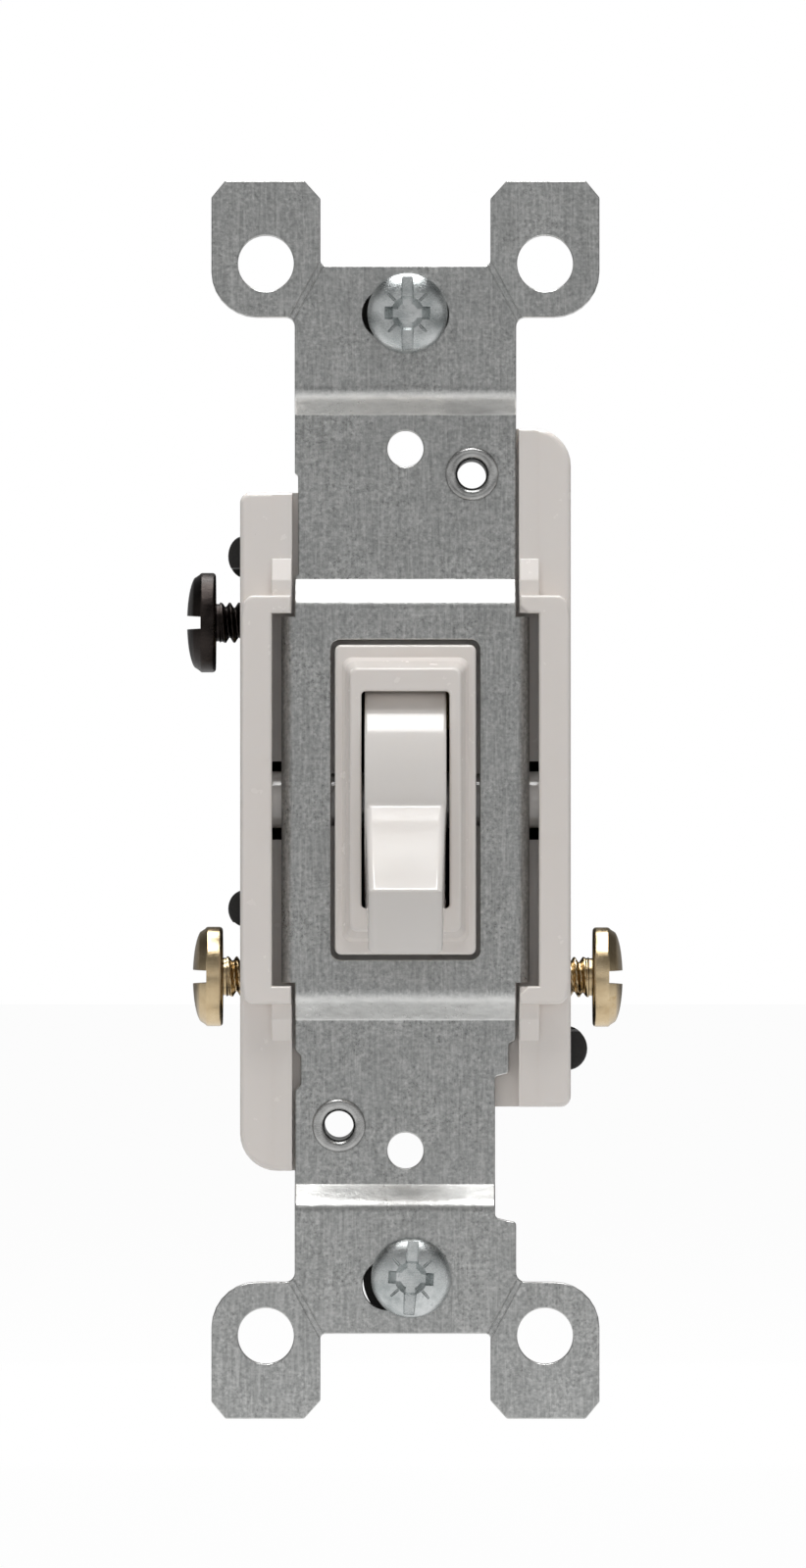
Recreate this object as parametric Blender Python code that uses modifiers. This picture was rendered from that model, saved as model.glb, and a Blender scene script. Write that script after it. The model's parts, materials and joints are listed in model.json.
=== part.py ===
"""Three-way toggle wall switch on a steel mounting strap, as separate pieces.

Units are millimetres in the driving dimensions and metres in the model. X runs across the strap, Z up it, and the
handle points along -Y. Depths (Y) below are counted from the wall plane, which is the back of the strap's ears.
The whole switch hangs on one empty that puts the model's origin at the centre of the base's flat back.
"""

import math

import bmesh
import bpy
from mathutils import Matrix, Vector

for old in list(bpy.data.objects):
    bpy.data.objects.remove(old, do_unlink=True)

MM = 0.001

# ---------------------------------------------------------------- driving dimensions, mm
FIT = 0.1                      # gap between pieces that seat on each other
GAP = 0.3                      # gap between other neighbours

STRAP_T = 1.25                 # strap thickness
EAR_X_OUT, EAR_X_IN = 16.65, 7.3
EAR_TOP, BRIDGE_TOP, EAR_LOW = 53.15, 45.85, 41.4
STRAP_X = 9.5                  # half width between the ears
BEND_A, BEND_B = (35.4, 33.1), (19.0, 16.3)   # |z| where each offset bend starts and ends
MID_A, MID_B = -STRAP_T / 2, 0.75 + STRAP_T / 2   # mid-surface depth of the raised and recessed lands
FLANGE_X, FLANGE_Z, FLANGE_BACK = 10.65, 15.7, 0.7
WINDOW = (12.8, 27.5, 0.8)     # width, height, corner radius
SLOT_Z, SLOT_W, SLOT_H = 41.67, 7.4, 4.2
PLATE_HOLE_Z, PLATE_HOLE_R = 30.16, 1.55
EAR_HOLE, EAR_HOLE_R = (11.98, 46.04), 2.4
EYELET, EYELET_HOLE_R = (5.72, 28.0), 1.65

BODY_X = 14.2                  # half width of frame and base
FRAME_BACK = 6.0
BASE_FRONT = FRAME_BACK + 0.15
LUG_BACK, BASE_BACK = 14.0, 25.0
BLOCK_Z = 25.2                 # half height of the deep part of the base
RAIL_Y, HOOK_Y, LOBE_Y = -1.85, -0.85, 0.2    # front faces of rails, hooks' inner ends and lobes
RAIL_X, STRIP_X = 11.45, 9.75
BEZEL_FLANGE = (6.05, 13.3)
BEZEL_FLANGE_Y = -1.9
BEZEL_FOOT, BEZEL_RIM, BEZEL_Y = (5.1, 11.85), (4.6, 11.1), -5.6
TOGGLE_SLOT = (3.77, 9.3)

PIVOT_Y = 3.5                  # handle's pivot
TILT = 26.0                    # handle's tilt from level, degrees
DRUM_R, DRUM_X = 11.4, 3.5
SHAFT_R, SHAFT_X = 2.45, 12.0
HANDLE_TIP_R = 24.0
TIP_HALF, ROOT_HALF = (3.15, 3.05), (3.45, 4.55)   # half width, half thickness
TAIL_END, BORE_R = 9.5, 1.6
BARREL_BACK = -1.0             # flat back of the barrel, from the pivot
PLUNGER_R, PLUNGER_TIP = 1.3, 12.0

ARM_Y, ARM_T, ARM_X, ARM_Z = 14.43, 0.9, 2.5, 10.0
ROCK_Y, ROCK = 17.45, 5.0      # arm's pivot depth, and its tilt each way
SADDLE_R = PLUNGER_TIP + 0.35
CONTACT_Z, CONTACT_R = 8.0, 1.8

SCREW_R, TERM_HEAD_R, TERM_HEAD_H = 1.75, 4.3, 2.5
TERM_Y, TERM_Z, PLATE_X = 11.0, 15.3, 12.4
HEAD_R, HEAD_H, NECK_R = 3.45, 1.95, 1.4

# ---------------------------------------------------------------- helpers

parts = bpy.data.collections.new("toggle_wall_switch")
cutters = bpy.data.collections.new("cutters")
bpy.context.scene.collection.children.link(parts)
bpy.context.scene.collection.children.link(cutters)


def material(name, colour, roughness, metallic):
    m = bpy.data.materials.new(name)
    m.use_nodes = True
    b = m.node_tree.nodes["Principled BSDF"]
    b.inputs["Base Color"].default_value = (*colour, 1.0)
    b.inputs["Roughness"].default_value = roughness
    b.inputs["Metallic"].default_value = metallic
    return m


def keep(obj, bm):
    bmesh.ops.recalc_face_normals(bm, faces=bm.faces)
    if bm.calc_volume(signed=True) < 0:
        bmesh.ops.reverse_faces(bm, faces=bm.faces)
    bm.to_mesh(obj.data)
    bm.free()
    return obj


def empty_object(name):
    obj = bpy.data.objects.new(name, bpy.data.meshes.new(name))
    cutters.objects.link(obj)
    obj.hide_render = True
    obj.display_type = "WIRE"
    return obj


def block(x, y, z, name="tool"):
    """A box between the given limits in millimetres."""
    bm = bmesh.new()
    bmesh.ops.create_cube(bm, size=1.0)
    for v in bm.verts:
        v.co = Vector((x[0] + (v.co.x + 0.5) * (x[1] - x[0]), y[0] + (v.co.y + 0.5) * (y[1] - y[0]), z[0] + (v.co.z + 0.5) * (z[1] - z[0]))) * MM
    return keep(empty_object(name), bm)


AXES = {"X": Matrix(((0, 0, 1), (1, 0, 0), (0, 1, 0))), "Y": Matrix(((1, 0, 0), (0, 0, -1), (0, 1, 0))), "Z": Matrix.Identity(3)}


def rod(axis, at, r, span, segments=24, name="tool", r2=None):
    """A cylinder or cone frustum along an axis, from span[0] to span[1]; at gives its other two coordinates."""
    bm = bmesh.new()
    lo, hi = span
    bmesh.ops.create_cone(bm, cap_ends=True, segments=segments, radius1=r * MM, radius2=(r if r2 is None else r2) * MM, depth=(hi - lo) * MM)
    turn = {"X": Matrix.Rotation(math.pi / 2, 3, "Y"), "Y": Matrix.Rotation(-math.pi / 2, 3, "X"), "Z": Matrix.Identity(3)}[axis]
    mid = (lo + hi) / 2
    place = {"X": (mid, at[0], at[1]), "Y": (at[0], mid, at[1]), "Z": (at[0], at[1], mid)}[axis]
    for v in bm.verts:
        v.co = turn @ v.co + Vector(place) * MM
    return keep(empty_object(name), bm)


def rounded(corners, segments=4):
    """Corners (u, v, radius) of a closed outline, each rounded by an arc of its radius."""
    out = []
    n = len(corners)
    for i, (u, v, r) in enumerate(corners):
        here, before, after = Vector((u, v)), Vector(corners[i - 1][:2]), Vector(corners[(i + 1) % n][:2])
        a, b = (before - here).normalized(), (after - here).normalized()
        if r <= 0:
            out.append((u, v))
            continue
        half = a.angle(b) / 2
        reach = r / math.tan(half)
        centre = here + (a + b).normalized() * (r / math.sin(half))
        start, end = here + a * reach - centre, here + b * reach - centre
        sweep = start.angle_signed(end)
        for k in range(segments + 1):
            turned = start.copy()
            turned.rotate(Matrix.Rotation(-sweep * k / segments, 2))
            out.append(tuple(centre + turned))
    return out


def ring(centre, r, segments=20):
    return [(centre[0] + r * math.cos(2 * math.pi * k / segments), centre[1] + r * math.sin(2 * math.pi * k / segments)) for k in range(segments)]


def stadium(centre, w, h, segments=8):
    """A slot outline of width w and height h with round ends."""
    r, a = h / 2, w / 2 - h / 2
    right = [(centre[0] + a + r * math.cos(t), centre[1] + r * math.sin(t)) for t in [math.pi * (k / segments - 0.5) for k in range(segments + 1)]]
    left = [(centre[0] - a - r * math.cos(t), centre[1] - r * math.sin(t)) for t in [math.pi * (k / segments - 0.5) for k in range(segments + 1)]]
    return right + left


def prism(outlines, axis, span, name="tool"):
    """A flat outline, with any holes after it, extruded along an axis. Outline points are (x, z), (y, z) or (x, y)."""
    data = bpy.data.curves.new(name, "CURVE")
    data.dimensions = "2D"
    data.fill_mode = "BOTH"
    data.extrude = (span[1] - span[0]) / 2 * MM
    data.resolution_u = 1
    for points in outlines:
        s = data.splines.new("POLY")
        s.points.add(len(points) - 1)
        for p, q in zip(s.points, points):
            p.co = (q[0] * MM, q[1] * MM, 0, 1)
        s.use_cyclic_u = True
    guide = bpy.data.objects.new(name, data)
    cutters.objects.link(guide)
    bpy.context.view_layer.update()
    mesh = bpy.data.meshes.new_from_object(guide.evaluated_get(bpy.context.evaluated_depsgraph_get()))
    bm = bmesh.new()
    bm.from_mesh(mesh)
    bmesh.ops.remove_doubles(bm, verts=bm.verts, dist=1e-7)
    mid = (span[0] + span[1]) / 2 * MM
    shift = {"X": Vector((mid, 0, 0)), "Y": Vector((0, mid, 0)), "Z": Vector((0, 0, mid))}[axis]
    for v in bm.verts:
        v.co = AXES[axis] @ v.co + shift
    bpy.data.objects.remove(guide, do_unlink=True)
    return keep(empty_object(name), bm)


def turned(profile, segments=24, name="tool"):
    """A turned shape about Z from (radius, height) points that run top to bottom, closed on the axis or as a ring."""
    obj = empty_object(name)
    bm = bmesh.new()
    verts = [bm.verts.new((r * MM, 0, h * MM)) for r, h in profile]
    pairs = list(zip(verts, verts[1:]))
    if profile[0][0] > 0:
        pairs.append((verts[-1], verts[0]))
    for a, b in pairs:
        bm.edges.new((a, b))
    bm.to_mesh(obj.data)
    bm.free()
    m = obj.modifiers.new("turn", "SCREW")
    m.axis, m.angle, m.screw_offset = "Z", 2 * math.pi, 0
    m.steps = m.render_steps = segments
    m.use_merge_vertices, m.merge_threshold = True, 1e-6
    settle(obj)
    bm = bmesh.new()
    bm.from_mesh(obj.data)
    bmesh.ops.remove_doubles(bm, verts=bm.verts, dist=1e-7)
    return keep(obj, bm)


def settle(obj):
    """Replaces an object's mesh with its evaluated one."""
    bpy.context.view_layer.update()
    mesh = bpy.data.meshes.new_from_object(obj.evaluated_get(bpy.context.evaluated_depsgraph_get()))
    obj.modifiers.clear()
    obj.data = mesh
    return obj


def combine(obj, tools, how):
    for t in tools:
        m = obj.modifiers.new(how.lower(), "BOOLEAN")
        m.operation, m.solver, m.object = how, "EXACT", t
    settle(obj)
    for t in tools:
        bpy.data.objects.remove(t, do_unlink=True)
    return obj


def join(obj, *tools):
    return combine(obj, tools, "UNION")


def cut(obj, *tools):
    return combine(obj, tools, "DIFFERENCE")


def bevel(obj, width, segments=2, angle=40):
    m = obj.modifiers.new("bevel", "BEVEL")
    m.width, m.segments, m.limit_method, m.angle_limit = width * MM, segments, "ANGLE", math.radians(angle)
    return settle(obj)


def reshape(obj, rule):
    """Moves every vertex by a rule on millimetre coordinates."""
    for v in obj.data.vertices:
        v.co = Vector(rule(v.co / MM)) * MM
    return obj


switch = bpy.data.objects.new("switch_origin", None)
parts.objects.link(switch)
switch.location = (0, -BASE_BACK * MM, 0)


def piece(name, obj, mat, origin=(0, 0, 0), parent=None, rotation=None, smooth=35):
    """Names a finished shape, gives it its material and puts its origin where it belongs, in millimetres."""
    o = Vector(origin) * MM
    for v in obj.data.vertices:
        v.co -= o
    obj.name = obj.data.name = name
    obj.data.materials.clear()
    obj.data.materials.append(mat)
    obj.data.shade_smooth()
    obj.data.set_sharp_from_angle(angle=math.radians(smooth))
    cutters.objects.unlink(obj)
    parts.objects.link(obj)
    obj.hide_render = False
    obj.display_type = "TEXTURED"
    obj.parent = parent or switch
    obj.location = o
    if rotation:
        obj.rotation_euler = rotation
    return obj


WHITE = material("white_moulding", (0.80, 0.77, 0.74), 0.3, 0.0)
DARK = material("dark_moulding", (0.03, 0.03, 0.032), 0.5, 0.0)
STEEL = material("galvanised_steel", (0.55, 0.56, 0.56), 0.4, 1.0)
BRIGHT = material("bright_zinc", (0.72, 0.72, 0.73), 0.25, 1.0)
BRASS = material("brass", (0.72, 0.55, 0.25), 0.3, 1.0)
BLACK_OXIDE = material("black_oxide", (0.05, 0.045, 0.04), 0.35, 1.0)
SPRING = material("spring_steel", (0.5, 0.5, 0.52), 0.3, 1.0)
SILVER = material("contact_silver", (0.85, 0.84, 0.8), 0.3, 1.0)
FIBRE = material("fibre", (0.02, 0.02, 0.02), 0.8, 0.0)

# ---------------------------------------------------------------- mounting strap


def half_outline(edges):
    """The strap's right side from the top bridge to the bottom one; edges are its (x, z, radius) between the ears."""
    top = [(EAR_X_IN, BRIDGE_TOP, 0.6), (EAR_X_IN, EAR_TOP - 1.6, 0), (EAR_X_IN + 1.3, EAR_TOP, 0), (EAR_X_OUT - 1.3, EAR_TOP, 0), (EAR_X_OUT, EAR_TOP - 1.6, 0), (EAR_X_OUT, EAR_LOW, 3.9)]
    return top + edges + [(x, -z, r) for x, z, r in reversed(top)]


LAND = STRAP_X - 0.5
flange = [(STRAP_X, FLANGE_Z + 0.5, 0), (LAND, FLANGE_Z + 0.2, 0), (LAND, -FLANGE_Z - 0.2, 0), (STRAP_X, -FLANGE_Z - 0.5, 0)]
right_edges = [(STRAP_X, EAR_LOW, 0.8)] + flange + [(STRAP_X, -20.7, 0.3), (8.9, -20.9, 0.3), (8.9, -23.5, 0.3), (7.7, -23.8, 0.4), (7.7, -35.9, 0.4), (STRAP_X, -36.3, 0.3), (STRAP_X, -EAR_LOW, 0.8)]
left_edges = [(STRAP_X, EAR_LOW, 0.8), (STRAP_X, 28.0, 0.2), (9.2, 27.7, 0.2), (9.2, 19.4, 0.2), (STRAP_X, 19.1, 0.2)] + flange + [(STRAP_X, -21.5, 0.3), (9.0, -22.0, 0.3), (9.0, -24.5, 0.3), (STRAP_X, -25.0, 0.3), (STRAP_X, -EAR_LOW, 0.8)]
outline = half_outline(right_edges) + [(-x, z, r) for x, z, r in reversed(half_outline(left_edges))]
w, h, r = WINDOW
window = rounded([(w / 2, h / 2, r), (w / 2, -h / 2, r), (-w / 2, -h / 2, r), (-w / 2, h / 2, r)])
holes = [window, stadium((0, SLOT_Z), SLOT_W, SLOT_H), stadium((0, -SLOT_Z), SLOT_W, SLOT_H)]
holes += [ring((0, s * PLATE_HOLE_Z), PLATE_HOLE_R) for s in (1, -1)]
holes += [ring((s * EYELET[0], s * EYELET[1]), EYELET_HOLE_R) for s in (1, -1)]
holes += [ring((sx * EAR_HOLE[0], sz * EAR_HOLE[1]), EAR_HOLE_R, 24) for sx in (1, -1) for sz in (1, -1)]
sheet = prism([rounded(outline, 5)] + holes, "Y", (0, 0), "strap")

STEPS = 4
bend_lines = [z0 + (z1 - z0) * k / STEPS for z0, z1 in (BEND_A, BEND_B) for k in range(STEPS + 1)]
bm = bmesh.new()
bm.from_mesh(sheet.data)
for z in bend_lines + [-z for z in bend_lines]:
    bmesh.ops.bisect_plane(bm, geom=bm.verts[:] + bm.edges[:] + bm.faces[:], plane_co=(0, 0, z * MM), plane_no=(0, 0, 1), dist=1e-7)
bm.to_mesh(sheet.data)
bm.free()


def smooth_step(t):
    t = min(max(t, 0.0), 1.0)
    return t * t * (3 - 2 * t)


def strap_depth(p):
    """Lifts the flat sheet to its raised and recessed lands."""
    z = abs(p.z)
    up = smooth_step((BEND_A[0] - z) / (BEND_A[0] - BEND_A[1])) - smooth_step((BEND_B[0] - z) / (BEND_B[0] - BEND_B[1]))
    return (p.x, MID_A + (MID_B - MID_A) * up, p.z)


reshape(sheet, strap_depth)
bm = bmesh.new()
bm.from_mesh(sheet.data)
bmesh.ops.dissolve_limit(bm, angle_limit=0.004, verts=bm.verts, edges=bm.edges)
bm.to_mesh(sheet.data)
bm.free()
m = sheet.modifiers.new("thickness", "SOLIDIFY")
m.thickness, m.offset, m.use_even_offset = STRAP_T * MM, 0, False
settle(sheet)


def flatten(p):
    """Puts the lands' corners exactly on their planes, half a thickness either side of the middle."""
    z = abs(p.z)
    for low, high, mid in ((BEND_A[0] - 0.2, 99, MID_A), (BEND_B[0] - 0.2, BEND_A[1] + 0.2, MID_B), (-1, BEND_B[1] + 0.2, MID_A)):
        if low <= z <= high:
            return (p.x, mid + math.copysign(STRAP_T / 2, p.y - mid), p.z)
    return p


reshape(sheet, flatten)
# side flanges, folded back beside the window
FOLD_R, ARC = 0.4, 5
turn = [math.pi / 2 * k / ARC for k in range(ARC + 1)]
centre = (FLANGE_X - STRAP_T - FOLD_R, FOLD_R)
for s in (1, -1):
    outer = [(centre[0] + (FOLD_R + STRAP_T) * math.sin(t), centre[1] - (FOLD_R + STRAP_T) * math.cos(t)) for t in turn]
    inner = [(centre[0] + FOLD_R * math.sin(t), centre[1] - FOLD_R * math.cos(t)) for t in reversed(turn)]
    fold = [(LAND - 1.2, -STRAP_T)] + outer + [(FLANGE_X, FLANGE_BACK), (FLANGE_X - STRAP_T, FLANGE_BACK)] + inner + [(LAND - 1.2, 0)]
    join(sheet, prism([[(s * x, y) for x, y in fold]], "Z", (-FLANGE_Z, FLANGE_Z)))
scores = []
for sx in (1, -1):
    for sz in (1, -1):
        a, b = Vector((9.9, 41.5)), Vector((7.3, 46.1))
        along = (b - a).normalized()
        side = Vector((-along.y, along.x)) * 0.17
        a, b = a - along * 0.6, b + along * 0.6
        quad = [(sx * p.x, sz * p.y) for p in (a - side, b - side, b + side, a + side)]
        scores.append(prism([quad], "Y", (-STRAP_T - 0.5, -STRAP_T + 0.28)))
cut(sheet, *scores)
piece("strap", sheet, STEEL)

# ---------------------------------------------------------------- body outline shared by frame and base


def body_outline(grow=0.0):
    g = grow
    half = [(-BODY_X + g, 26.4 - g, 0.9), (2.8 + g, 26.4 - g, 0.4), (2.8 + g, 31.9 - g, 0.6), (BODY_X - g, 31.9 - g, 3.2)]
    return rounded(half + [(-x, -z, r) for x, z, r in half], 4)


# ---------------------------------------------------------------- front frame
frame = prism([body_outline()], "Y", (LOBE_Y, FRAME_BACK), "front_frame")
cut(frame,
    block((-STRIP_X, STRIP_X), (-3, 2.3), (15.9, 40)),
    block((-STRIP_X, STRIP_X), (-3, 2.3), (-40, -15.9)))
cut(frame, block((-RAIL_X, RAIL_X), (-3, 3.3), (-16.0, 16.0)))
join(frame, block((-9.1, 9.1), (0.3, 4.0), (-15.5, 15.5)))
for s in (1, -1):
    rail = [(s * RAIL_X, -17.55, 0), (s * RAIL_X, 17.55, 0)]
    arc = [(s * (RAIL_X + 2.45 * math.sin(t)), 16.6 + 0.95 * math.cos(t)) for t in [math.pi / 2 * k / 5 for k in range(1, 6)]]
    points = [(p[0], p[1]) for p in rail] + arc + [(x, -z) for x, z in reversed(arc)]
    join(frame, prism([points], "Y", (RAIL_Y, 1.5)))
    for t in (1, -1):
        hook = [(1.2, t * 16.0), (RAIL_Y + 0.25, t * 16.0), (RAIL_Y, t * 16.25), (RAIL_Y, t * 17.4), (HOOK_Y, t * 17.65), (HOOK_Y, t * 18.9), (LOBE_Y + 0.02, t * 20.7), (1.2, t * 20.7)]
        lo, hi = sorted((s * STRIP_X, s * (RAIL_X + 0.4)))
        join(frame, prism([hook], "X", (lo, hi)))
bezel_foot = block((-BEZEL_FLANGE[0], BEZEL_FLANGE[0]), (BEZEL_FLANGE_Y, 2.0), (-BEZEL_FLANGE[1], BEZEL_FLANGE[1]))
bevel(bezel_foot, 0.35, 2)
rim = prism([rounded([(x * BEZEL_FOOT[0], z * BEZEL_FOOT[1], 1.0) for x, z in ((1, 1), (1, -1), (-1, -1), (-1, 1))], 4)], "Y", (BEZEL_Y, 1.0))
reshape(rim, lambda p: (p.x * (BEZEL_RIM[0] / BEZEL_FOOT[0] if p.y < -1 else 1), p.y, p.z * (BEZEL_RIM[1] / BEZEL_FOOT[1] if p.y < -1 else 1)))
bevel(rim, 0.3, 2, 60)
join(frame, bezel_foot, rim)
cut(frame,
    block((-TOGGLE_SLOT[0], TOGGLE_SLOT[0]), (-8, 8), (-TOGGLE_SLOT[1], TOGGLE_SLOT[1])),
    rod("X", (PIVOT_Y, 0), DRUM_R + GAP, (-TOGGLE_SLOT[0], TOGGLE_SLOT[0]), 48),
    rod("X", (PIVOT_Y, 0), SHAFT_R + GAP, (-SHAFT_X - GAP, SHAFT_X + GAP), 32),
    block((-SHAFT_X - GAP, SHAFT_X + GAP), (PIVOT_Y, 7), (-SHAFT_R - GAP, SHAFT_R + GAP)),
    block((-RAIL_X, -9.1), (-3, 7), (-3.35, 3.35)),
    block((9.1, RAIL_X), (-3, 7), (-3.35, 3.35)),
    rod("Y", EYELET, 1.75, (-1, 8)),
    rod("Y", (-EYELET[0], -EYELET[1]), 1.75, (-1, 8)),
    block((-9.0, -4.6), (4.4, 7), (5.0, 13.6)), block((4.6, 9.0), (4.4, 7), (5.0, 13.6)),
    block((-9.0, -4.6), (4.4, 7), (-13.6, -5.0)), block((4.6, 9.0), (4.4, 7), (-13.6, -5.0)))
piece("front_frame", frame, WHITE)

# ---------------------------------------------------------------- rear base
base = prism([body_outline()], "Y", (BASE_FRONT, LUG_BACK), "rear_base")
deep = block((-BODY_X + 0.05, BODY_X - 0.05), (LUG_BACK - 2, BASE_BACK), (-BLOCK_Z, BLOCK_Z))
bevel(deep, 0.7, 2)
join(base, deep)
join(base,
     block((-15.3, -13.5), (8.0, 17.0), (19.25, 22.75)),
     block((-15.3, -13.5), (8.0, 17.0), (-11.0, -7.85)),
     block((13.5, 15.7), (8.0, 17.0), (-23.35, -19.65)))
cut(base,
    block((-6.3, 6.3), (5, 22), (-13.4, 13.4)),
    block((7.5, 12.6), (5, 22), (-23, 23)),
    block((-12.6, -7.5), (5, 22), (-23, 23)))
cut(base,
    block((-16, -11), (5.9, 15.3), (10.6, 20.0)),
    block((-16, -11), (5.9, 15.3), (-20.0, -10.6)),
    block((11, 16), (5.9, 15.3), (-20.05, -10.65)),
    rod("X", (PIVOT_Y, 0), SHAFT_R + GAP, (-SHAFT_X - GAP, SHAFT_X + GAP), 32))
cut(base,
    block((-8, -6), (20.0, 23), (10.9, 13.2)),
    block((-8, -6), (17.65, 19.05), (-13.2, -10.9)),
    block((6, 8), (17.65, 19.05), (5.7, 10.3)))
holes = [rod("Y", (sx * 10.2, sz * 16.5), 1.2, (20, 27), 20) for sx, sz in ((-1, 1), (-1, -1), (1, -1))]
holes += [block((sx * 10.2 - 2.0, sx * 10.2 + 2.0), (20, 27), sorted((sz * 20.3, sz * 21.6))) for sx, sz in ((-1, 1), (-1, -1), (1, -1))]
holes += [rod("Y", (s * EYELET[0], s * EYELET[1]), 1.75, (5, 15)) for s in (1, -1)]
cut(base, *holes)
piece("rear_base", base, DARK)

# ---------------------------------------------------------------- handle: lever, drum, cross-shaft and tail in one
# built about its pivot with the handle along -Y
handle = block((-1, 1), (-HANDLE_TIP_R, -5.5), (-1, 1), "toggle_lever")


def taper(p):
    t = (p.y + HANDLE_TIP_R) / (HANDLE_TIP_R - 5.5)
    return (p.x * (TIP_HALF[0] + (ROOT_HALF[0] - TIP_HALF[0]) * t), p.y, p.z * (TIP_HALF[1] + (ROOT_HALF[1] - TIP_HALF[1]) * t))


reshape(handle, taper)
bevel(handle, 0.7, 3)
drum = rod("X", (0, 0), DRUM_R, (-DRUM_X, DRUM_X), 72)
cut(drum, block((-5, 5), (BARREL_BACK, 14), (-14, 14)))
join(handle, drum)
join(handle, block((-DRUM_X + 0.4, DRUM_X - 0.4), (BARREL_BACK - 1, 3.2), (-4.6, 4.6)))
join(handle, rod("X", (0, 0), SHAFT_R, (-SHAFT_X, SHAFT_X), 32))
join(handle, block((-2.7, 2.7), (1.0, TAIL_END), (-2.7, 2.7)))
cut(handle, rod("Y", (0, 0), BORE_R, (0.5, 12)))
toggle = piece("toggle_lever", handle, WHITE, smooth=30)
toggle.location = (0, PIVOT_Y * MM, 0)
toggle.rotation_euler = (math.radians(TILT), 0, 0)

dome = [(0, PLUNGER_TIP)] + [(PLUNGER_R * math.sin(t), PLUNGER_TIP - PLUNGER_R + PLUNGER_R * math.cos(t)) for t in [math.pi / 2 * k / 5 for k in range(1, 6)]]
pin = turned(dome + [(PLUNGER_R, 3.9), (PLUNGER_R - 0.2, 3.7), (0, 3.7)], 14, "plunger")
reshape(pin, lambda p: (p.x, p.z, -p.y))
piece("plunger", pin, SPRING, parent=toggle)

wire, coil_r, z0, z1, turns = 0.17, 1.1, 0.8, 3.4, 5
data = bpy.data.curves.new("plunger_spring", "CURVE")
data.dimensions, data.bevel_depth, data.bevel_resolution, data.use_fill_caps, data.resolution_u = "3D", wire * MM, 1, True, 1
s = data.splines.new("POLY")
count = 9 * turns
s.points.add(count)
for k, p in enumerate(s.points):
    a = 2 * math.pi * turns * k / count
    p.co = (coil_r * math.cos(a) * MM, (z0 + (z1 - z0) * k / count) * MM, coil_r * math.sin(a) * MM, 1)
guide = bpy.data.objects.new("coil", data)
cutters.objects.link(guide)
bpy.context.view_layer.update()
coil = empty_object("plunger_spring")
coil.data = bpy.data.meshes.new_from_object(guide.evaluated_get(bpy.context.evaluated_depsgraph_get()))
bm = bmesh.new()
bm.from_mesh(coil.data)
bmesh.ops.remove_doubles(bm, verts=bm.verts, dist=1e-7)
keep(coil, bm)
bpy.data.objects.remove(guide, do_unlink=True)
piece("plunger_spring", coil, SPRING, parent=toggle, smooth=60)

# ---------------------------------------------------------------- contact arm
span = 5.75
front = [(PIVOT_Y + math.sqrt(SADDLE_R ** 2 - z * z), z) for z in [span * (k / 6 - 1) for k in range(13)]]
edge_y = front[0][0]
profile = [(edge_y, -ARM_Z)] + front + [(edge_y, ARM_Z), (edge_y + ARM_T, ARM_Z)]
profile += [(y + ARM_T, z) for y, z in reversed(front)] + [(edge_y + ARM_T, -ARM_Z)]
arm = prism([profile], "X", (-ARM_X, ARM_X), "rocker_arm")
join(arm, block((-2.95, -2.3), (16.0, 18.3), (-1.4, 1.4)), block((2.3, 2.95), (16.0, 18.3), (-1.4, 1.4)))
cut(arm, rod("Y", (0, CONTACT_Z), 0.95, (10, 20), 14), rod("Y", (0, -CONTACT_Z), 0.95, (10, 20), 14))
ROCKED = (math.radians(-ROCK), 0, 0)
rocker = piece("rocker_arm", arm, BRASS, (0, ROCK_Y, 0), rotation=ROCKED)


def contact(name, z, facing, seat, tail, parent=None):
    """A contact rivet: a button of silver with a shank through its strip. facing is +1 where the button faces the back."""
    profile = [(0, 0.8), (1.0, 0.8), (CONTACT_R, 0.45), (CONTACT_R, 0.0), (0.8, 0.0), (0.8, -tail), (0, -tail)]
    obj = turned(profile, 14, name)
    reshape(obj, lambda p: (p.x, seat + facing * p.z, z + p.y))
    bm = bmesh.new()
    bm.from_mesh(obj.data)
    keep(obj, bm)
    if parent is None:
        return piece(name, obj, SILVER)
    made = piece(name, obj, SILVER, (0, ROCK_Y, 0), parent=parent)
    made.location = (0, 0, 0)
    return made


arm_back = edge_y + ARM_T
contact("moving_contact_upper", CONTACT_Z, 1, arm_back + FIT, 1.3, rocker)
contact("moving_contact_lower", -CONTACT_Z, 1, arm_back + FIT, 1.3, rocker)
STRIP_Y = 18.05
contact("fixed_contact_upper", CONTACT_Z, -1, STRIP_Y - FIT, 1.3)
contact("fixed_contact_lower", -CONTACT_Z, -1, STRIP_Y - FIT, 1.3)

# ---------------------------------------------------------------- terminals
T = 0.8


def terminal_plate(s, z, depth, name):
    """Side plate with its tapped hole; s is -1 on the left. Returns the uncut plate."""
    x = sorted((s * PLATE_X, s * (PLATE_X - 0.9)))
    return block(x, (7.0, depth), (z - 4.1, z + 4.1), name)


common = terminal_plate(-1, TERM_Z, 21.2, "common_terminal")
join(common,
     block((-11.9, -3.9), (20.4, 21.2), (11.25, 12.9)))
join(common, block((-5.5, -3.9), (20.4, 21.2), (-0.8, 12.0)))
join(common, block((-4.5, 2.0), (20.4, 21.2), (-0.8, 0.8)))
join(common, prism([[(20.8, -0.4), (20.8, 0.4), (ROCK_Y, 0.4), (ROCK_Y - 0.3, 0.25), (ROCK_Y - 0.4, 0.0), (ROCK_Y - 0.3, -0.25), (ROCK_Y, -0.4)]], "X", (-1.9, 1.9)))
cut(common, rod("X", (TERM_Y, TERM_Z), 1.87, (-14, -10)))
piece("common_terminal", common, BRASS)

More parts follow.
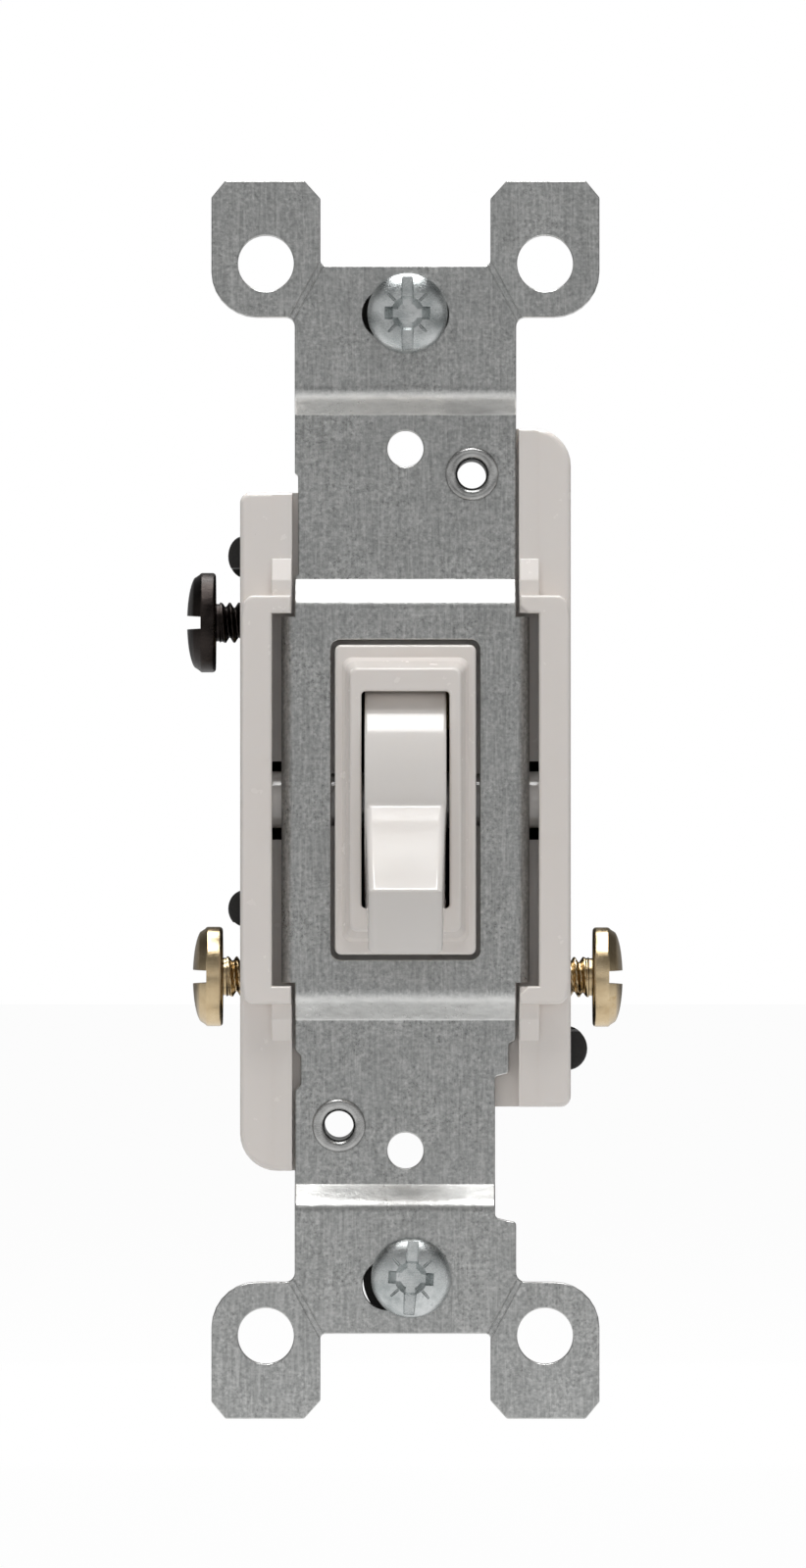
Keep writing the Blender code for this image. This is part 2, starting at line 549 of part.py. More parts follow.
left = terminal_plate(-1, -TERM_Z, STRIP_Y + T, "traveller_terminal_left")
join(left, block((-11.9, 2.2), (STRIP_Y, STRIP_Y + T), (-12.9, -11.25)))
join(left, block((-2.2, 2.2), (STRIP_Y, STRIP_Y + T), (-12.0, -6.0)))
cut(left, rod("X", (TERM_Y, -TERM_Z), 1.87, (-14, -10)), rod("Y", (0, -CONTACT_Z), 0.95, (15, 20), 16))
piece("traveller_terminal_left", left, BRASS)

right = terminal_plate(1, -TERM_Z - 0.05, STRIP_Y + T, "traveller_terminal_right")
join(right, block((8.2, 11.9), (STRIP_Y, STRIP_Y + T), (-12.9, -11.25)))
join(right, block((8.2, 9.8), (STRIP_Y, STRIP_Y + T), (-12.0, 9.9)))
join(right, block((-2.2, 9.0), (STRIP_Y, STRIP_Y + T), (6.1, 9.9)))
cut(right, rod("X", (TERM_Y, -TERM_Z - 0.05), 1.87, (10, 14)), rod("Y", (0, CONTACT_Z), 0.95, (15, 20), 16))
piece("traveller_terminal_right", right, BRASS)

for name, sx, sz in (("wire_clip_common", -1, 1), ("wire_clip_left", -1, -1), ("wire_clip_right", 1, -1)):
    path = [(7.9, 13.6), (7.9, 20.6), (8.5, 21.3), (9.3, 21.0), (11.1, 16.4)]
    t = 0.35
    inner = []
    for i, (x, y) in enumerate(path):
        a, b = Vector(path[max(i - 1, 0)]), Vector(path[min(i + 1, len(path) - 1)])
        d = (b - a).normalized()
        inner.append((x + d.y * t, y - d.x * t))
    loop = [(sx * x, y) for x, y in path] + [(sx * x, y) for x, y in reversed(inner)]
    clip = prism([[(x, y) for x, y in loop]], "Z", sorted((sz * 15.0, sz * 18.0)), name)
    piece(name, clip, SPRING)

# ---------------------------------------------------------------- terminal screws, each along X


def terminal_screw(name, s, z, under, out, mat):
    """Domed binding-head screw. under and out are |x| of the head's underside and top."""
    h = out - under
    dome = [(0, h)] + [(TERM_HEAD_R * 0.93 * math.sin(t), h - 0.75 + 0.75 * math.cos(t)) for t in [math.pi / 2 * k / 4 for k in (1, 2, 3)]]
    profile = dome + [(TERM_HEAD_R, h - 1.35), (TERM_HEAD_R, 0.35), (TERM_HEAD_R - 0.3, 0), (SCREW_R, 0), (SCREW_R, 9.9 - under + 0.6), (SCREW_R - 0.6, 9.9 - under), (0, 9.9 - under)]
    obj = turned(profile, 24, name)
    cut(obj, block((-0.6, 0.6), (-6, 6), (h - 1.3, h + 2)))
    # slot level, along Y
    reshape(obj, lambda p: (s * (under + p.z), TERM_Y + p.y, z + s * p.x * -1))
    bm = bmesh.new()
    bm.from_mesh(obj.data)
    keep(obj, bm)
    return piece(name, obj, mat, (s * under, TERM_Y, z))


terminal_screw("common_screw", -1, TERM_Z, 16.4, 18.9, BLACK_OXIDE)
terminal_screw("traveller_screw_left", -1, -TERM_Z, 15.8, 18.4, BRASS)
terminal_screw("traveller_screw_right", 1, -TERM_Z - 0.05, 16.2, 18.8, BRASS)

# ---------------------------------------------------------------- eyelets, mounting screws and their washers
land_front = MID_B - STRAP_T / 2
for name, s in (("eyelet_upper", 1), ("eyelet_lower", -1)):
    f, b = -(land_front - FIT), -(LUG_BACK + FIT)
    profile = [(1.25, f + 0.1), (1.5, f + 0.45), (1.85, f + 0.45), (2.15, f + 0.2), (2.1, f), (1.55, f), (1.55, b), (2.2, b), (2.25, b - 0.25), (1.7, b - 0.4), (1.25, b - 0.1)]
    obj = turned(profile, 24, name)
    reshape(obj, lambda p: (s * EYELET[0] + p.x, -p.z, s * EYELET[1] + p.y))
    bm = bmesh.new()
    bm.from_mesh(obj.data)
    keep(obj, bm)
    piece(name, obj, BRIGHT)

for name, x, z, spin in (("upper", 0.17, 41.75, 0.0), ("lower", 0.48, -41.04, 3.5)):
    seat = STRAP_T + FIT
    dome = [(0, seat + HEAD_H)] + [(HEAD_R * math.sin(t), seat + 0.35 + (HEAD_H - 0.35) * math.cos(t)) for t in [math.pi / 2 * k / 5 for k in range(1, 6)]]
    profile = dome + [(HEAD_R, seat + 0.1), (HEAD_R - 0.15, seat), (NECK_R, seat), (NECK_R, -1.6), (SCREW_R, -2.0), (SCREW_R, -17.0), (SCREW_R - 0.6, -17.7), (0, -17.7)]
    obj = turned(profile, 24, "mounting_screw_" + name)
    top = seat + HEAD_H
    cut(obj, block((-0.55, 0.55), (-3.15, 3.15), (top - 0.9, top + 1)), block((-1.9, 1.9), (-0.55, 0.55), (top - 1.1, top + 1)))
    reshape(obj, lambda p: (x + p.x, -p.z, z + p.y))
    bm = bmesh.new()
    bm.from_mesh(obj.data)
    keep(obj, bm)
    screw = piece("mounting_screw_" + name, obj, BRIGHT, (x, 0, z), rotation=(0, -math.radians(spin), 0))
    washer = turned([(4.25, -0.15), (4.25, -0.95), (1.5, -0.95), (1.5, -0.15)], 28, "screw_retainer_" + name)
    reshape(washer, lambda p: (x + p.x, -p.z, z + p.y))
    bm = bmesh.new()
    bm.from_mesh(washer.data)
    keep(washer, bm)
    piece("screw_retainer_" + name, washer, FIBRE, (x, 0, z))
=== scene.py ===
"""Looks for the three-way toggle wall switch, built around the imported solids.
"""

import json
import math

import bmesh
import bpy
from mathutils import Matrix, Vector


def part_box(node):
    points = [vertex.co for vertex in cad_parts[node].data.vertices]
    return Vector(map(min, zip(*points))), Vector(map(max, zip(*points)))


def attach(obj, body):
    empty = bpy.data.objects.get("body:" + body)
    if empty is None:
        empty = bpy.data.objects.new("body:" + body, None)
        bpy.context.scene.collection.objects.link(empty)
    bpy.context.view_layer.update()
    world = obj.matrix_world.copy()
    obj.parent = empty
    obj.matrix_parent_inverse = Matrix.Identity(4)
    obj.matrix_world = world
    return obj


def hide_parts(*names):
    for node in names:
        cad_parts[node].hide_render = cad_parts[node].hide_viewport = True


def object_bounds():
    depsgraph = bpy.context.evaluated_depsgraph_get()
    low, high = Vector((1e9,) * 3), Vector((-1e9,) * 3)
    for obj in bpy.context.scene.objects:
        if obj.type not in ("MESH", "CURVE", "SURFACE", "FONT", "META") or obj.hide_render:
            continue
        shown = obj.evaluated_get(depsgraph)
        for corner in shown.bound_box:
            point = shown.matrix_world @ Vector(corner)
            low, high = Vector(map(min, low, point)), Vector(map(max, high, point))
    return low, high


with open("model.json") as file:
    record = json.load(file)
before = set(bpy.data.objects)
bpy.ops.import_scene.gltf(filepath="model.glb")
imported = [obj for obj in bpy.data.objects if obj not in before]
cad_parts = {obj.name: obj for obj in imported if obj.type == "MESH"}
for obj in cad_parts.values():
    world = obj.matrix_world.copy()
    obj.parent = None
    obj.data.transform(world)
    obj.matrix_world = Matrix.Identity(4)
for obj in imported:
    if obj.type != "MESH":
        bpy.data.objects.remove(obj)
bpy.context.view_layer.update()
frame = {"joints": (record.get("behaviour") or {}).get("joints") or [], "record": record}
MOUNTS = {mount["name"]: mount for mount in frame["record"]["mounts"]}
JOINTS = {joint["name"]: joint for joint in frame["joints"]}
WALL = MOUNTS["ears_back_upper"]["pos_m"][1] * 1000.0


def mm_box(node):
    """The low and high corners of a node's box, in wall-frame millimetres."""
    return [Vector((p.x * 1000, p.y * 1000 - WALL, p.z * 1000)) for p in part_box(node)]


def joint_place(name):
    return Vector(JOINTS[name]["pos_m"]) * 1000 - Vector((0, WALL, 0))


# ---------------------------------------------------------------- sizes that several pieces share

FRAME_MIN, FRAME_MAX = mm_box("front_frame")
BODY_X, BODY_Z = FRAME_MAX.x, FRAME_MAX.z
STRAP_T = 1.25
EYELET_MIN, EYELET_MAX = mm_box("eyelet_upper")
EYELET_X = (EYELET_MIN.x + EYELET_MAX.x) / 2
EYELET_Z = (EYELET_MIN.z + EYELET_MAX.z) / 2
PIVOT = joint_place("toggle_pivot")
ROCK = joint_place("rocker_pivot")
SHAFT_R, SHAFT_X, DRUM_R = 2.45, mm_box("toggle_lever")[1].x, 11.4
GAP = 0.3  # clearance round the handle's drum and shaft
CONTACT_Z, STRIP_Y, PLATE_T = 8.0, 18.05, 0.8
TERMINAL_Y, TERMINAL_Z = 11.0, 15.3
RIGHT_TERMINAL_Z = -TERMINAL_Z - 0.05
SIDES = (1, -1)

# ---------------------------------------------------------------- outlines


def angles(segments, sweep=math.pi / 2):
    """Angles from 0 to sweep in equal steps."""
    return [sweep * k / segments for k in range(segments + 1)]


def half_turn(segments):
    return [math.pi * (k / segments - 0.5) for k in range(segments + 1)]


def span(side, near, far):
    """The sorted range between two distances on one side of the middle."""
    return sorted((side * near, side * far))


def grow(points, distance):
    """The outline moved outwards by a distance, or by a list of distances, one for each point."""
    count = len(points)
    distances = distance if isinstance(distance, list) else [distance] * count
    area = sum(
        points[i][0] * points[(i + 1) % count][1] - points[(i + 1) % count][0] * points[i][1]
        for i in range(count)
    )
    sign = 1 if area > 0 else -1
    out = []
    for i in range(count):
        here, before = Vector(points[i]), Vector(points[i - 1])
        after = Vector(points[(i + 1) % count])
        arrive, leave = (here - before).normalized(), (after - here).normalized()
        normal_in = Vector((arrive.y, -arrive.x)) * sign
        normal_out = Vector((leave.y, -leave.x)) * sign
        mitre = (normal_in + normal_out) / max(1 + normal_in.dot(normal_out), 0.25)
        out.append(tuple(here + mitre * distances[i]))
    return out


def rounded(corners, segments=8):
    """Corners (u, v, radius) of a closed outline, each rounded by an arc of its radius."""
    out = []
    count = len(corners)
    for i, (u, v, radius) in enumerate(corners):
        here, before = Vector((u, v)), Vector(corners[i - 1][:2])
        after = Vector(corners[(i + 1) % count][:2])
        if radius <= 0:
            out.append((u, v))
            continue
        back, ahead = (before - here).normalized(), (after - here).normalized()
        half = back.angle(ahead) / 2
        reach = radius / math.tan(half)
        centre = here + (back + ahead).normalized() * (radius / math.sin(half))
        start, end = here + back * reach - centre, here + ahead * reach - centre
        sweep = start.angle_signed(end)
        for k in range(segments + 1):
            turned = start.copy()
            turned.rotate(Matrix.Rotation(-sweep * k / segments, 2))
            out.append(tuple(centre + turned))
    return out


def circle(centre, radius, segments=48):
    turns = angles(segments, 2 * math.pi)[:-1]
    return [(centre[0] + radius * math.cos(a), centre[1] + radius * math.sin(a)) for a in turns]


def stadium(centre, width, height, segments=16):
    radius, shift = height / 2, width / 2 - height / 2
    u, v = centre
    arc = half_turn(segments)
    right = [(u + shift + radius * math.cos(a), v + radius * math.sin(a)) for a in arc]
    left = [(u - shift - radius * math.cos(a), v - radius * math.sin(a)) for a in arc]
    return right + left


def box_outline(x, z, radius=0.0, segments=5):
    corners = ((x[1], z[1]), (x[1], z[0]), (x[0], z[0]), (x[0], z[1]))
    return rounded([(*corner, radius) for corner in corners], segments)


def rectangle(half_x, half_z, radius=0.0, segments=5):
    return box_outline((-half_x, half_x), (-half_z, half_z), radius, segments)


def wing(reach, half):
    """A cross outline: four arms of the given reach and half width."""
    return [
        (reach, -half), (reach, half), (half, half), (half, reach),
        (-half, reach), (-half, half), (-reach, half), (-reach, -half),
        (-half, -half), (-half, -reach), (half, -reach), (half, -half),
    ]


def ribbon(start, end, across, half):
    """A thin four-sided outline about the line from start to end."""
    wide = across * half
    return [start - wide, end - wide, end + wide, start + wide]


# ---------------------------------------------------------------- solids


def face_outwards(shell):
    bmesh.ops.recalc_face_normals(shell, faces=shell.faces)
    if shell.calc_volume(signed=True) < 0:
        bmesh.ops.reverse_faces(shell, faces=shell.faces)


def fresh(shell):
    """Makes a linked object from a bmesh."""
    bmesh.ops.remove_doubles(shell, verts=shell.verts, dist=1e-6)
    face_outwards(shell)
    mesh = bpy.data.meshes.new("tool")
    shell.to_mesh(mesh)
    shell.free()
    obj = bpy.data.objects.new("tool", mesh)
    bpy.context.scene.collection.objects.link(obj)
    return obj


def skin(shell, rings):
    """Joins rings of equal count by quads and caps both ends."""
    count = len(rings[0])
    for ring, following in zip(rings, rings[1:]):
        for i in range(count):
            j = (i + 1) % count
            shell.faces.new((ring[i], ring[j], following[j], following[i]))
    shell.faces.new(rings[0])
    shell.faces.new(rings[-1])


def on_axis(axis, u, v, depth):
    """A point whose outline place is (u, v) and whose depth runs along axis."""
    return {"X": (depth, u, v), "Y": (u, depth, v), "Z": (u, v, depth)}[axis]


def loft(loops, axis="Y"):
    """Closes a stack of (points, depth) loops of equal count into one solid."""
    shell = bmesh.new()
    rings = [
        [shell.verts.new(on_axis(axis, u, v, depth)) for u, v in points]
        for points, depth in loops
    ]
    skin(shell, rings)
    return fresh(shell)


def rim(points, radius, segments, sign):
    """(outline, depth) loops of a quarter-round rim; sign is -1 on a solid, 1 on a cutter."""
    if radius == 0:
        return [(points, 0.0)]
    return [
        (grow(points, sign * radius * (1 - math.sin(a))), radius * (1 - math.cos(a)))
        for a in angles(segments)
    ]


def soft(points, axis, ends, low_rim, high_rim, segments=4):
    """An outline extruded between two depths, each rim rounded by its own radius."""
    low, high = ends
    loops = [(loop, low + depth) for loop, depth in rim(points, low_rim, segments, -1)]
    loops += [(loop, high - depth) for loop, depth in reversed(rim(points, high_rim, segments, -1))]
    return loft(loops, axis)


def bore(points, axis, mouth, end, radius=0.15, end_radius=0.0, segments=3):
    """A cutter for a hole with a rounded mouth, rounded at end too if it comes out there."""
    way = 1 if end > mouth else -1
    loops = [(grow(points, radius + over), mouth - way * over) for over in (0.6, 0.03)]
    loops += [(loop, mouth + way * depth) for loop, depth in rim(points, radius, segments, 1)]
    far_rim = reversed(rim(points, end_radius, segments, 1))
    loops += [(loop, end - way * depth) for loop, depth in far_rim]
    if end_radius > 0:
        loops.append((grow(points, end_radius + 0.6), end + way * 0.6))
    return loft(loops, axis)


def block(x, y, z, radius=0.0):
    return soft(box_outline(x, z, radius * 1.25), "Y", y, radius, radius, 3)


def tapered(outline, rows):
    """A cutter along Z from (size, size, z) rows, the sizes being those the outline takes."""
    return loft([(outline(first, second), z) for first, second, z in rows], "Z")


def lathe(rows, segments=64, thread=None):
    """A turned solid about Z from (radius, z) rows; a negative radius is left to thread(z, angle)."""
    shell = bmesh.new()
    rings = []
    for radius, z in rows:
        if radius == 0:
            rings.append([shell.verts.new((0, 0, z))])
            continue
        ring = []
        for angle in angles(segments, 2 * math.pi)[:-1]:
            reach = radius if radius > 0 else thread(z, angle)
            ring.append(shell.verts.new((reach * math.cos(angle), reach * math.sin(angle), z)))
        rings.append(ring)
    pairs = list(zip(rings, rings[1:]))
    if len(rings[0]) > 1:
        pairs.append((rings[-1], rings[0]))
    for low, high in pairs:
        for i in range(segments):
            j = (i + 1) % segments
            corners = [low[i % len(low)], low[j % len(low)]]
            corners += [high[j % len(high)], high[i % len(high)]]
            corners = list(dict.fromkeys(corners))
            if len(corners) > 2:
                shell.faces.new(corners)
    return fresh(shell)


def combine(obj, tools, how):
    for tool in tools:
        modifier = obj.modifiers.new(how.lower(), "BOOLEAN")
        modifier.operation, modifier.solver, modifier.object = how, "EXACT", tool
    bpy.context.view_layer.update()
    settled = obj.evaluated_get(bpy.context.evaluated_depsgraph_get())
    mesh = bpy.data.meshes.new_from_object(settled)
    obj.modifiers.clear()
    obj.data = mesh
    for tool in tools:
        bpy.data.objects.remove(tool, do_unlink=True)


def join(obj, *tools):
    combine(obj, tools, "UNION")


def cut(obj, *tools):
    combine(obj, tools, "DIFFERENCE")


def reshape(obj, rule):
    for vertex in obj.data.vertices:
        vertex.co = Vector(rule(vertex.co))


def righted(obj):
    """Turns the faces outwards again after the points were moved."""
    shell = bmesh.new()
    shell.from_mesh(obj.data)
    face_outwards(shell)
    shell.to_mesh(obj.data)
    shell.free()


def place(obj, rule):
    reshape(obj, rule)
    righted(obj)


def finish(obj, name, look, body, node, sharp=32, weigh=True):
    """Scales a piece to the row frame, shades it and puts it on its body.

    look is a (material, slot) pair, whose slot is not used, and sharp the angle in degrees from which
    edges stay sharp.
    """
    material, slot = look
    obj.name = name
    obj.data.name = name
    for vertex in obj.data.vertices:
        vertex.co = Vector((vertex.co.x, vertex.co.y + WALL, vertex.co.z)) * 0.001
    obj.data.materials.clear()
    obj.data.materials.append(material)
    for polygon in obj.data.polygons:
        polygon.material_index = 0
    obj.data.shade_smooth()
    obj.data.set_sharp_from_angle(angle=math.radians(sharp))
    if weigh:
        modifier = obj.modifiers.new("normals", "WEIGHTED_NORMAL")
        modifier.keep_sharp, modifier.weight = True, 90
    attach(obj, body)
    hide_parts(node)


# ---------------------------------------------------------------- node helpers


class Graph:
    """Adds nodes to a tree. An input given as a socket is linked, and any other is set."""

    def __init__(self, tree):
        self.tree = tree

    def feed(self, socket, value):
        if isinstance(value, bpy.types.NodeSocket):
            self.tree.links.new(value, socket)
            return
        if isinstance(value, tuple) and socket.type == "RGBA":
            value = (*value, 1)
        socket.default_value = value

    def add(self, kind, inputs=None, **settings):
        node = self.tree.nodes.new("ShaderNode" + kind)
        for key, value in settings.items():
            setattr(node, key, value)
        for key, value in (inputs or {}).items():
            self.feed(node.inputs[key], value)
        return node

    def ramp(self, source, stops):
        node = self.add("ValToRGB", {0: source})
        elements = node.color_ramp.elements
        for element, (position, colour) in zip(elements, (stops[0], stops[-1])):
            element.position, element.color = position, (*colour, 1)
        for position, colour in stops[1:-1]:
            elements.new(position).color = (*colour, 1)
        return node.outputs["Color"]

    def spread(self, source, give, read=(0.3, 0.7)):
        """Maps the range read of the source to the range give."""
        inputs = {"From Min": read[0], "From Max": read[1], "To Min": give[0], "To Max": give[1]}
        return self.add("MapRange", {**inputs, "Value": source}).outputs["Result"]

    def math(self, how, *values, **settings):
        return self.add("Math", dict(enumerate(values)), operation=how, **settings).outputs[0]


class Surface(Graph):
    """A Principled material whose texture space is millimetres in the piece's own frame."""

    def __init__(self, name):
        self.material = bpy.data.materials.new(name)
        self.material.use_nodes = True
        super().__init__(self.material.node_tree)
        self.bsdf = self.tree.nodes["Principled BSDF"]
        coord = self.add("TexCoord").outputs["Object"]
        scale = self.add("VectorMath", {0: coord, "Scale": 1000.0}, operation="SCALE")
        self.space = scale.outputs[0]

    def facing(self, axis):
        """One component of the surface's own direction."""
        normal = self.add("NewGeometry").outputs["Normal"]
        return self.add("SeparateXYZ", {0: normal}).outputs[axis]

    def noise(self, size, detail=3.0, rough=0.55, stretch=None, distortion=0.0):
        """Noise with features about size millimetres across, longer where stretch is below 1."""
        space = self.space
        if stretch:
            space = self.add("VectorMath", {0: space, 1: stretch}, operation="MULTIPLY").outputs[0]
        inputs = {"Scale": 1.0 / size, "Detail": detail, "Roughness": rough}
        inputs.update({"Distortion": distortion, "Vector": space})
        return self.add("TexNoise", inputs).outputs["Fac"]

    def cells(self, size):
        """Distance from scattered points about size millimetres apart."""
        inputs = {"Scale": 1.0 / size, "Vector": self.space}
        return self.add("TexVoronoi", inputs, feature="F1").outputs["Distance"]

    def weighed(self, *parts):
        """The sum of two (source, weight) parts."""
        return self.math("ADD", *[self.math("MULTIPLY", *part) for part in parts])

    def over(self, below, above, amount):
        """Lays one colour over another; 6, 7 and output 2 are the mix node's colour sockets."""
        inputs = {"Factor": amount, 6: below, 7: above}
        return self.add("Mix", inputs, data_type="RGBA", blend_type="MIX").outputs[2]

    def height(self, *layers):
        """Stacks bumps: each layer is (height source, depth in millimetres)."""
        normal = None
        for source, depth in layers:
            inputs = {"Strength": 1.0, "Distance": depth * 0.001, "Height": source}
            if normal:
                inputs["Normal"] = normal
            normal = self.add("Bump", inputs).outputs["Normal"]
        self.feed(self.bsdf.inputs["Normal"], normal)

    def shade(self, inputs):
        for key, value in inputs.items():
            self.feed(self.bsdf.inputs[key], value)


# ---------------------------------------------------------------- materials, as (material, slot)


def galvanised():
    """Zinc-coated strip: mottled grain, streaks along x and z, and a painted highlight on the sloping
    bends.
    """
    zinc = Surface("galvanised_sheet")
    grain = zinc.noise(size=0.34, detail=4, rough=0.7)
    patch = zinc.noise(size=4.5, detail=3, rough=0.5)
    streak = zinc.noise(size=0.22, detail=2, rough=0.6, stretch=(1.0, 1.0, 0.06))
    dark_streak = zinc.noise(size=0.30, detail=2, rough=0.6, stretch=(1.0, 1.0, 0.08))
    cross_streak = zinc.noise(size=0.40, detail=2, rough=0.6, stretch=(0.25, 1.0, 1.0))
    mottle = [(0.30, (0.24, 0.245, 0.24)), (0.5, (0.42, 0.425, 0.42)), (0.70, (0.68, 0.68, 0.67))]
    tone = zinc.ramp(grain, stops=mottle)
    # (source, range read, cover over that range, colour)
    for source, read, give, colour in (
        (patch, (0.35, 0.7), (0.0, 0.45), (0.37, 0.378, 0.375)),
        (streak, (0.50, 0.70), (0.0, 0.36), (0.70, 0.70, 0.69)),
        (dark_streak, (0.50, 0.70), (0.0, 0.36), (0.22, 0.225, 0.22)),
        (cross_streak, (0.54, 0.72), (0.0, 0.35), (0.62, 0.62, 0.61)),
        (zinc.cells(size=1.6), (0.0, 0.12), (0.6, 0.0), (0.26, 0.265, 0.26)),
    ):
        tone = zinc.over(tone, colour, zinc.spread(source, give, read))
    # painted highlight: the coating is lightened where the strip slopes at its bends, broken up by
    # noise
    slope = zinc.math("ABSOLUTE", zinc.facing("Z"), 0.0)
    steep = zinc.spread(slope, read=(0.22, 0.60), give=(0.0, 1.0))
    not_edge = zinc.spread(slope, read=(0.80, 0.95), give=(1.0, 0.0))
    highlight_breakup = zinc.noise(size=0.9, detail=3, rough=0.6, stretch=(0.5, 1.0, 1.0))
    bend_highlight = zinc.math("MULTIPLY", steep, not_edge)
    bend_highlight = zinc.math("MULTIPLY", bend_highlight, zinc.spread(highlight_breakup, read=(0.3, 0.6), give=(0.65, 1.0)))
    tone = zinc.over(tone, (0.80, 0.80, 0.785), amount=bend_highlight)
    gloss = zinc.spread(zinc.weighed((grain, 0.6), (patch, 0.4)), give=(0.24, 0.38))
    zinc.shade({"Metallic": 0.9, "Base Color": tone, "Roughness": gloss})
    waves = zinc.noise(size=2.2, detail=2, rough=0.5)
    zinc.height((grain, 0.026), (streak, 0.012), (waves, 0.05))
    return zinc.material, "galvanised_steel"


def white_moulding(name, tint, rough, texture):
    """Glossy thermoplastic with faint flow marks; texture is the depth of its skin in mm."""
    white = Surface(name)
    flow = white.noise(size=7.0, detail=2, rough=0.5, stretch=(1.0, 1.0, 0.35))
    fine = white.noise(size=0.16, detail=3, rough=0.6)
    dust = white.spread(white.cells(size=2.3), read=(0.0, 0.035), give=(0.22, 0.0))
    red, green, blue = (level * 0.985 for level in tint)
    warm = (red * 1.005, green, blue * 0.992)
    tone = white.over(tint, warm, amount=white.spread(flow, read=(0.35, 0.65), give=(0.0, 1.0)))
    tone = white.over(tone, (0.52, 0.49, 0.46), amount=dust)
    uneven = white.noise(size=1.4, detail=3, rough=0.55)
    white.shade({
        "Base Color": tone,
        "IOR": 1.5,
        "Specular IOR Level": 0.85,
        "Subsurface Weight": 0.08,
        "Subsurface Scale": 0.0012,
        "Subsurface Radius": (1.0, 0.85, 0.7),
        "Roughness": white.spread(uneven, give=(rough * 0.9, rough * 1.1)),
    })
    white.height((fine, texture))
    return white.material, "white_moulding"


def dark_moulding():
    """Dark thermoset: mineral speckle and a satin skin."""
    dark = Surface("dark_thermoset")
    speck = dark.noise(size=0.22, detail=4, rough=0.7)
    cloud = dark.noise(size=5.0, detail=3, rough=0.5)
    minerals = [
        (0.3, (0.006, 0.005, 0.005)), (0.62, (0.014, 0.012, 0.011)), (0.78, (0.040, 0.036, 0.033)),
    ]
    tone = dark.ramp(speck, stops=minerals)
    haze = dark.spread(cloud, read=(0.4, 0.7), give=(0.0, 0.35))
    tone = dark.over(tone, (0.022, 0.019, 0.017), amount=haze)
    dark.shade({"Base Color": tone, "Roughness": dark.spread(cloud, give=(0.34, 0.52))})
    dark.height((speck, 0.012), (dark.noise(size=1.0, detail=3, rough=0.5), 0.02))
    return dark.material, "dark_moulding"


def plated(name, slot, dark, light, rough, scratch, stain=None):
    """Plated or bare metal: scratches (depth in mm), a range of roughness, an optional stain."""
    metal = Surface(name)
    cloud = metal.noise(size=1.6, detail=3, rough=0.55)
    fine = metal.noise(size=0.12, detail=3, rough=0.65)
    lines = metal.noise(size=0.07, detail=2, rough=0.6, stretch=(0.09, 1.0, 1.0), distortion=0.2)
    tone = metal.over(dark, light, amount=metal.spread(cloud, give=(0.0, 1.0)))
    bright = tuple(min(1.0, level * 1.15) for level in light)
    shine = metal.spread(lines, read=(0.55, 0.75), give=(0.0, 0.3))
    tone = metal.over(tone, bright, amount=shine)
    if stain:
        spots = metal.noise(size=0.8, detail=4, rough=0.7)
        cover = metal.spread(spots, read=(0.58, 0.75), give=(0.0, 0.75))
        tone = metal.over(tone, stain, amount=cover)
    gloss = metal.spread(metal.weighed((cloud, 0.5), (lines, 0.5)), give=rough)
    metal.shade({"Metallic": 1.0, "Base Color": tone, "Roughness": gloss})
    metal.height((fine, scratch), (lines, scratch))
    return metal.material, slot


def fibre():
    """Pressed black fibre board."""
    board = Surface("pressed_fibre")
    strands = board.noise(
        size=0.10, detail=4, rough=0.7, stretch=(0.18, 1.0, 1.0), distortion=1.2,
    )
    stops = [(0.3, (0.008, 0.008, 0.008)), (0.75, (0.05, 0.047, 0.043))]
    gloss = board.spread(strands, give=(0.75, 0.95))
    board.shade({"Base Color": board.ramp(strands, stops), "Roughness": gloss})
    board.height((strands, 0.03))
    return board.material, "fibre"


GALVANISED = galvanised()
FRAME_WHITE = white_moulding("frame_white", tint=(0.89, 0.838, 0.798), rough=0.25, texture=0.002)
HANDLE_WHITE = white_moulding("handle_white", tint=(0.80, 0.766, 0.735), rough=0.12, texture=0.0006)
THERMOSET = dark_moulding()
ZINC = plated(
    "bright_zinc_plate", "bright_zinc", dark=(0.40, 0.43, 0.43), light=(0.78, 0.80, 0.80),
    rough=(0.20, 0.36), scratch=0.012, stain=(0.26, 0.29, 0.29),
)
BRASS = plated(
    "brass_plate", "brass", dark=(0.54, 0.41, 0.24), light=(0.73, 0.585, 0.375),
    rough=(0.14, 0.30), scratch=0.005, stain=(0.45, 0.30, 0.12),
)
STRIP_BRASS = plated(
    "brass_strip", "brass", dark=(0.68, 0.50, 0.22), light=(0.80, 0.62, 0.32),
    rough=(0.26, 0.42), scratch=0.010, stain=(0.42, 0.28, 0.12),
)
OXIDE = plated(
    "black_oxide", "black_oxide", dark=(0.018, 0.015, 0.014), light=(0.045, 0.037, 0.034),
    rough=(0.22, 0.42), scratch=0.010, stain=(0.010, 0.008, 0.008),
)
EYELET_METAL = plated(
    "tinned_eyelet", "bright_zinc", dark=(0.34, 0.34, 0.335), light=(0.60, 0.60, 0.59),
    rough=(0.18, 0.34), scratch=0.008, stain=(0.36, 0.35, 0.34),
)
SPRING = plated(
    "spring_steel", "spring_steel", dark=(0.42, 0.42, 0.44), light=(0.62, 0.62, 0.64),
    rough=(0.22, 0.36), scratch=0.006,
)
SILVER = plated(
    "contact_silver", "contact_silver", dark=(0.78, 0.77, 0.73), light=(0.92, 0.91, 0.88),
    rough=(0.20, 0.38), scratch=0.008, stain=(0.50, 0.46, 0.40),
)
FIBRE = fibre()

# ---------------------------------------------------------------- mounting strap

STRAP_MAX = mm_box("strap")[1]
EAR_X, EAR_TOP = STRAP_MAX.x, STRAP_MAX.z
EAR_IN, BRIDGE_TOP, EAR_LOW, STRAP_X = 7.3, 45.85, 41.4, 9.5
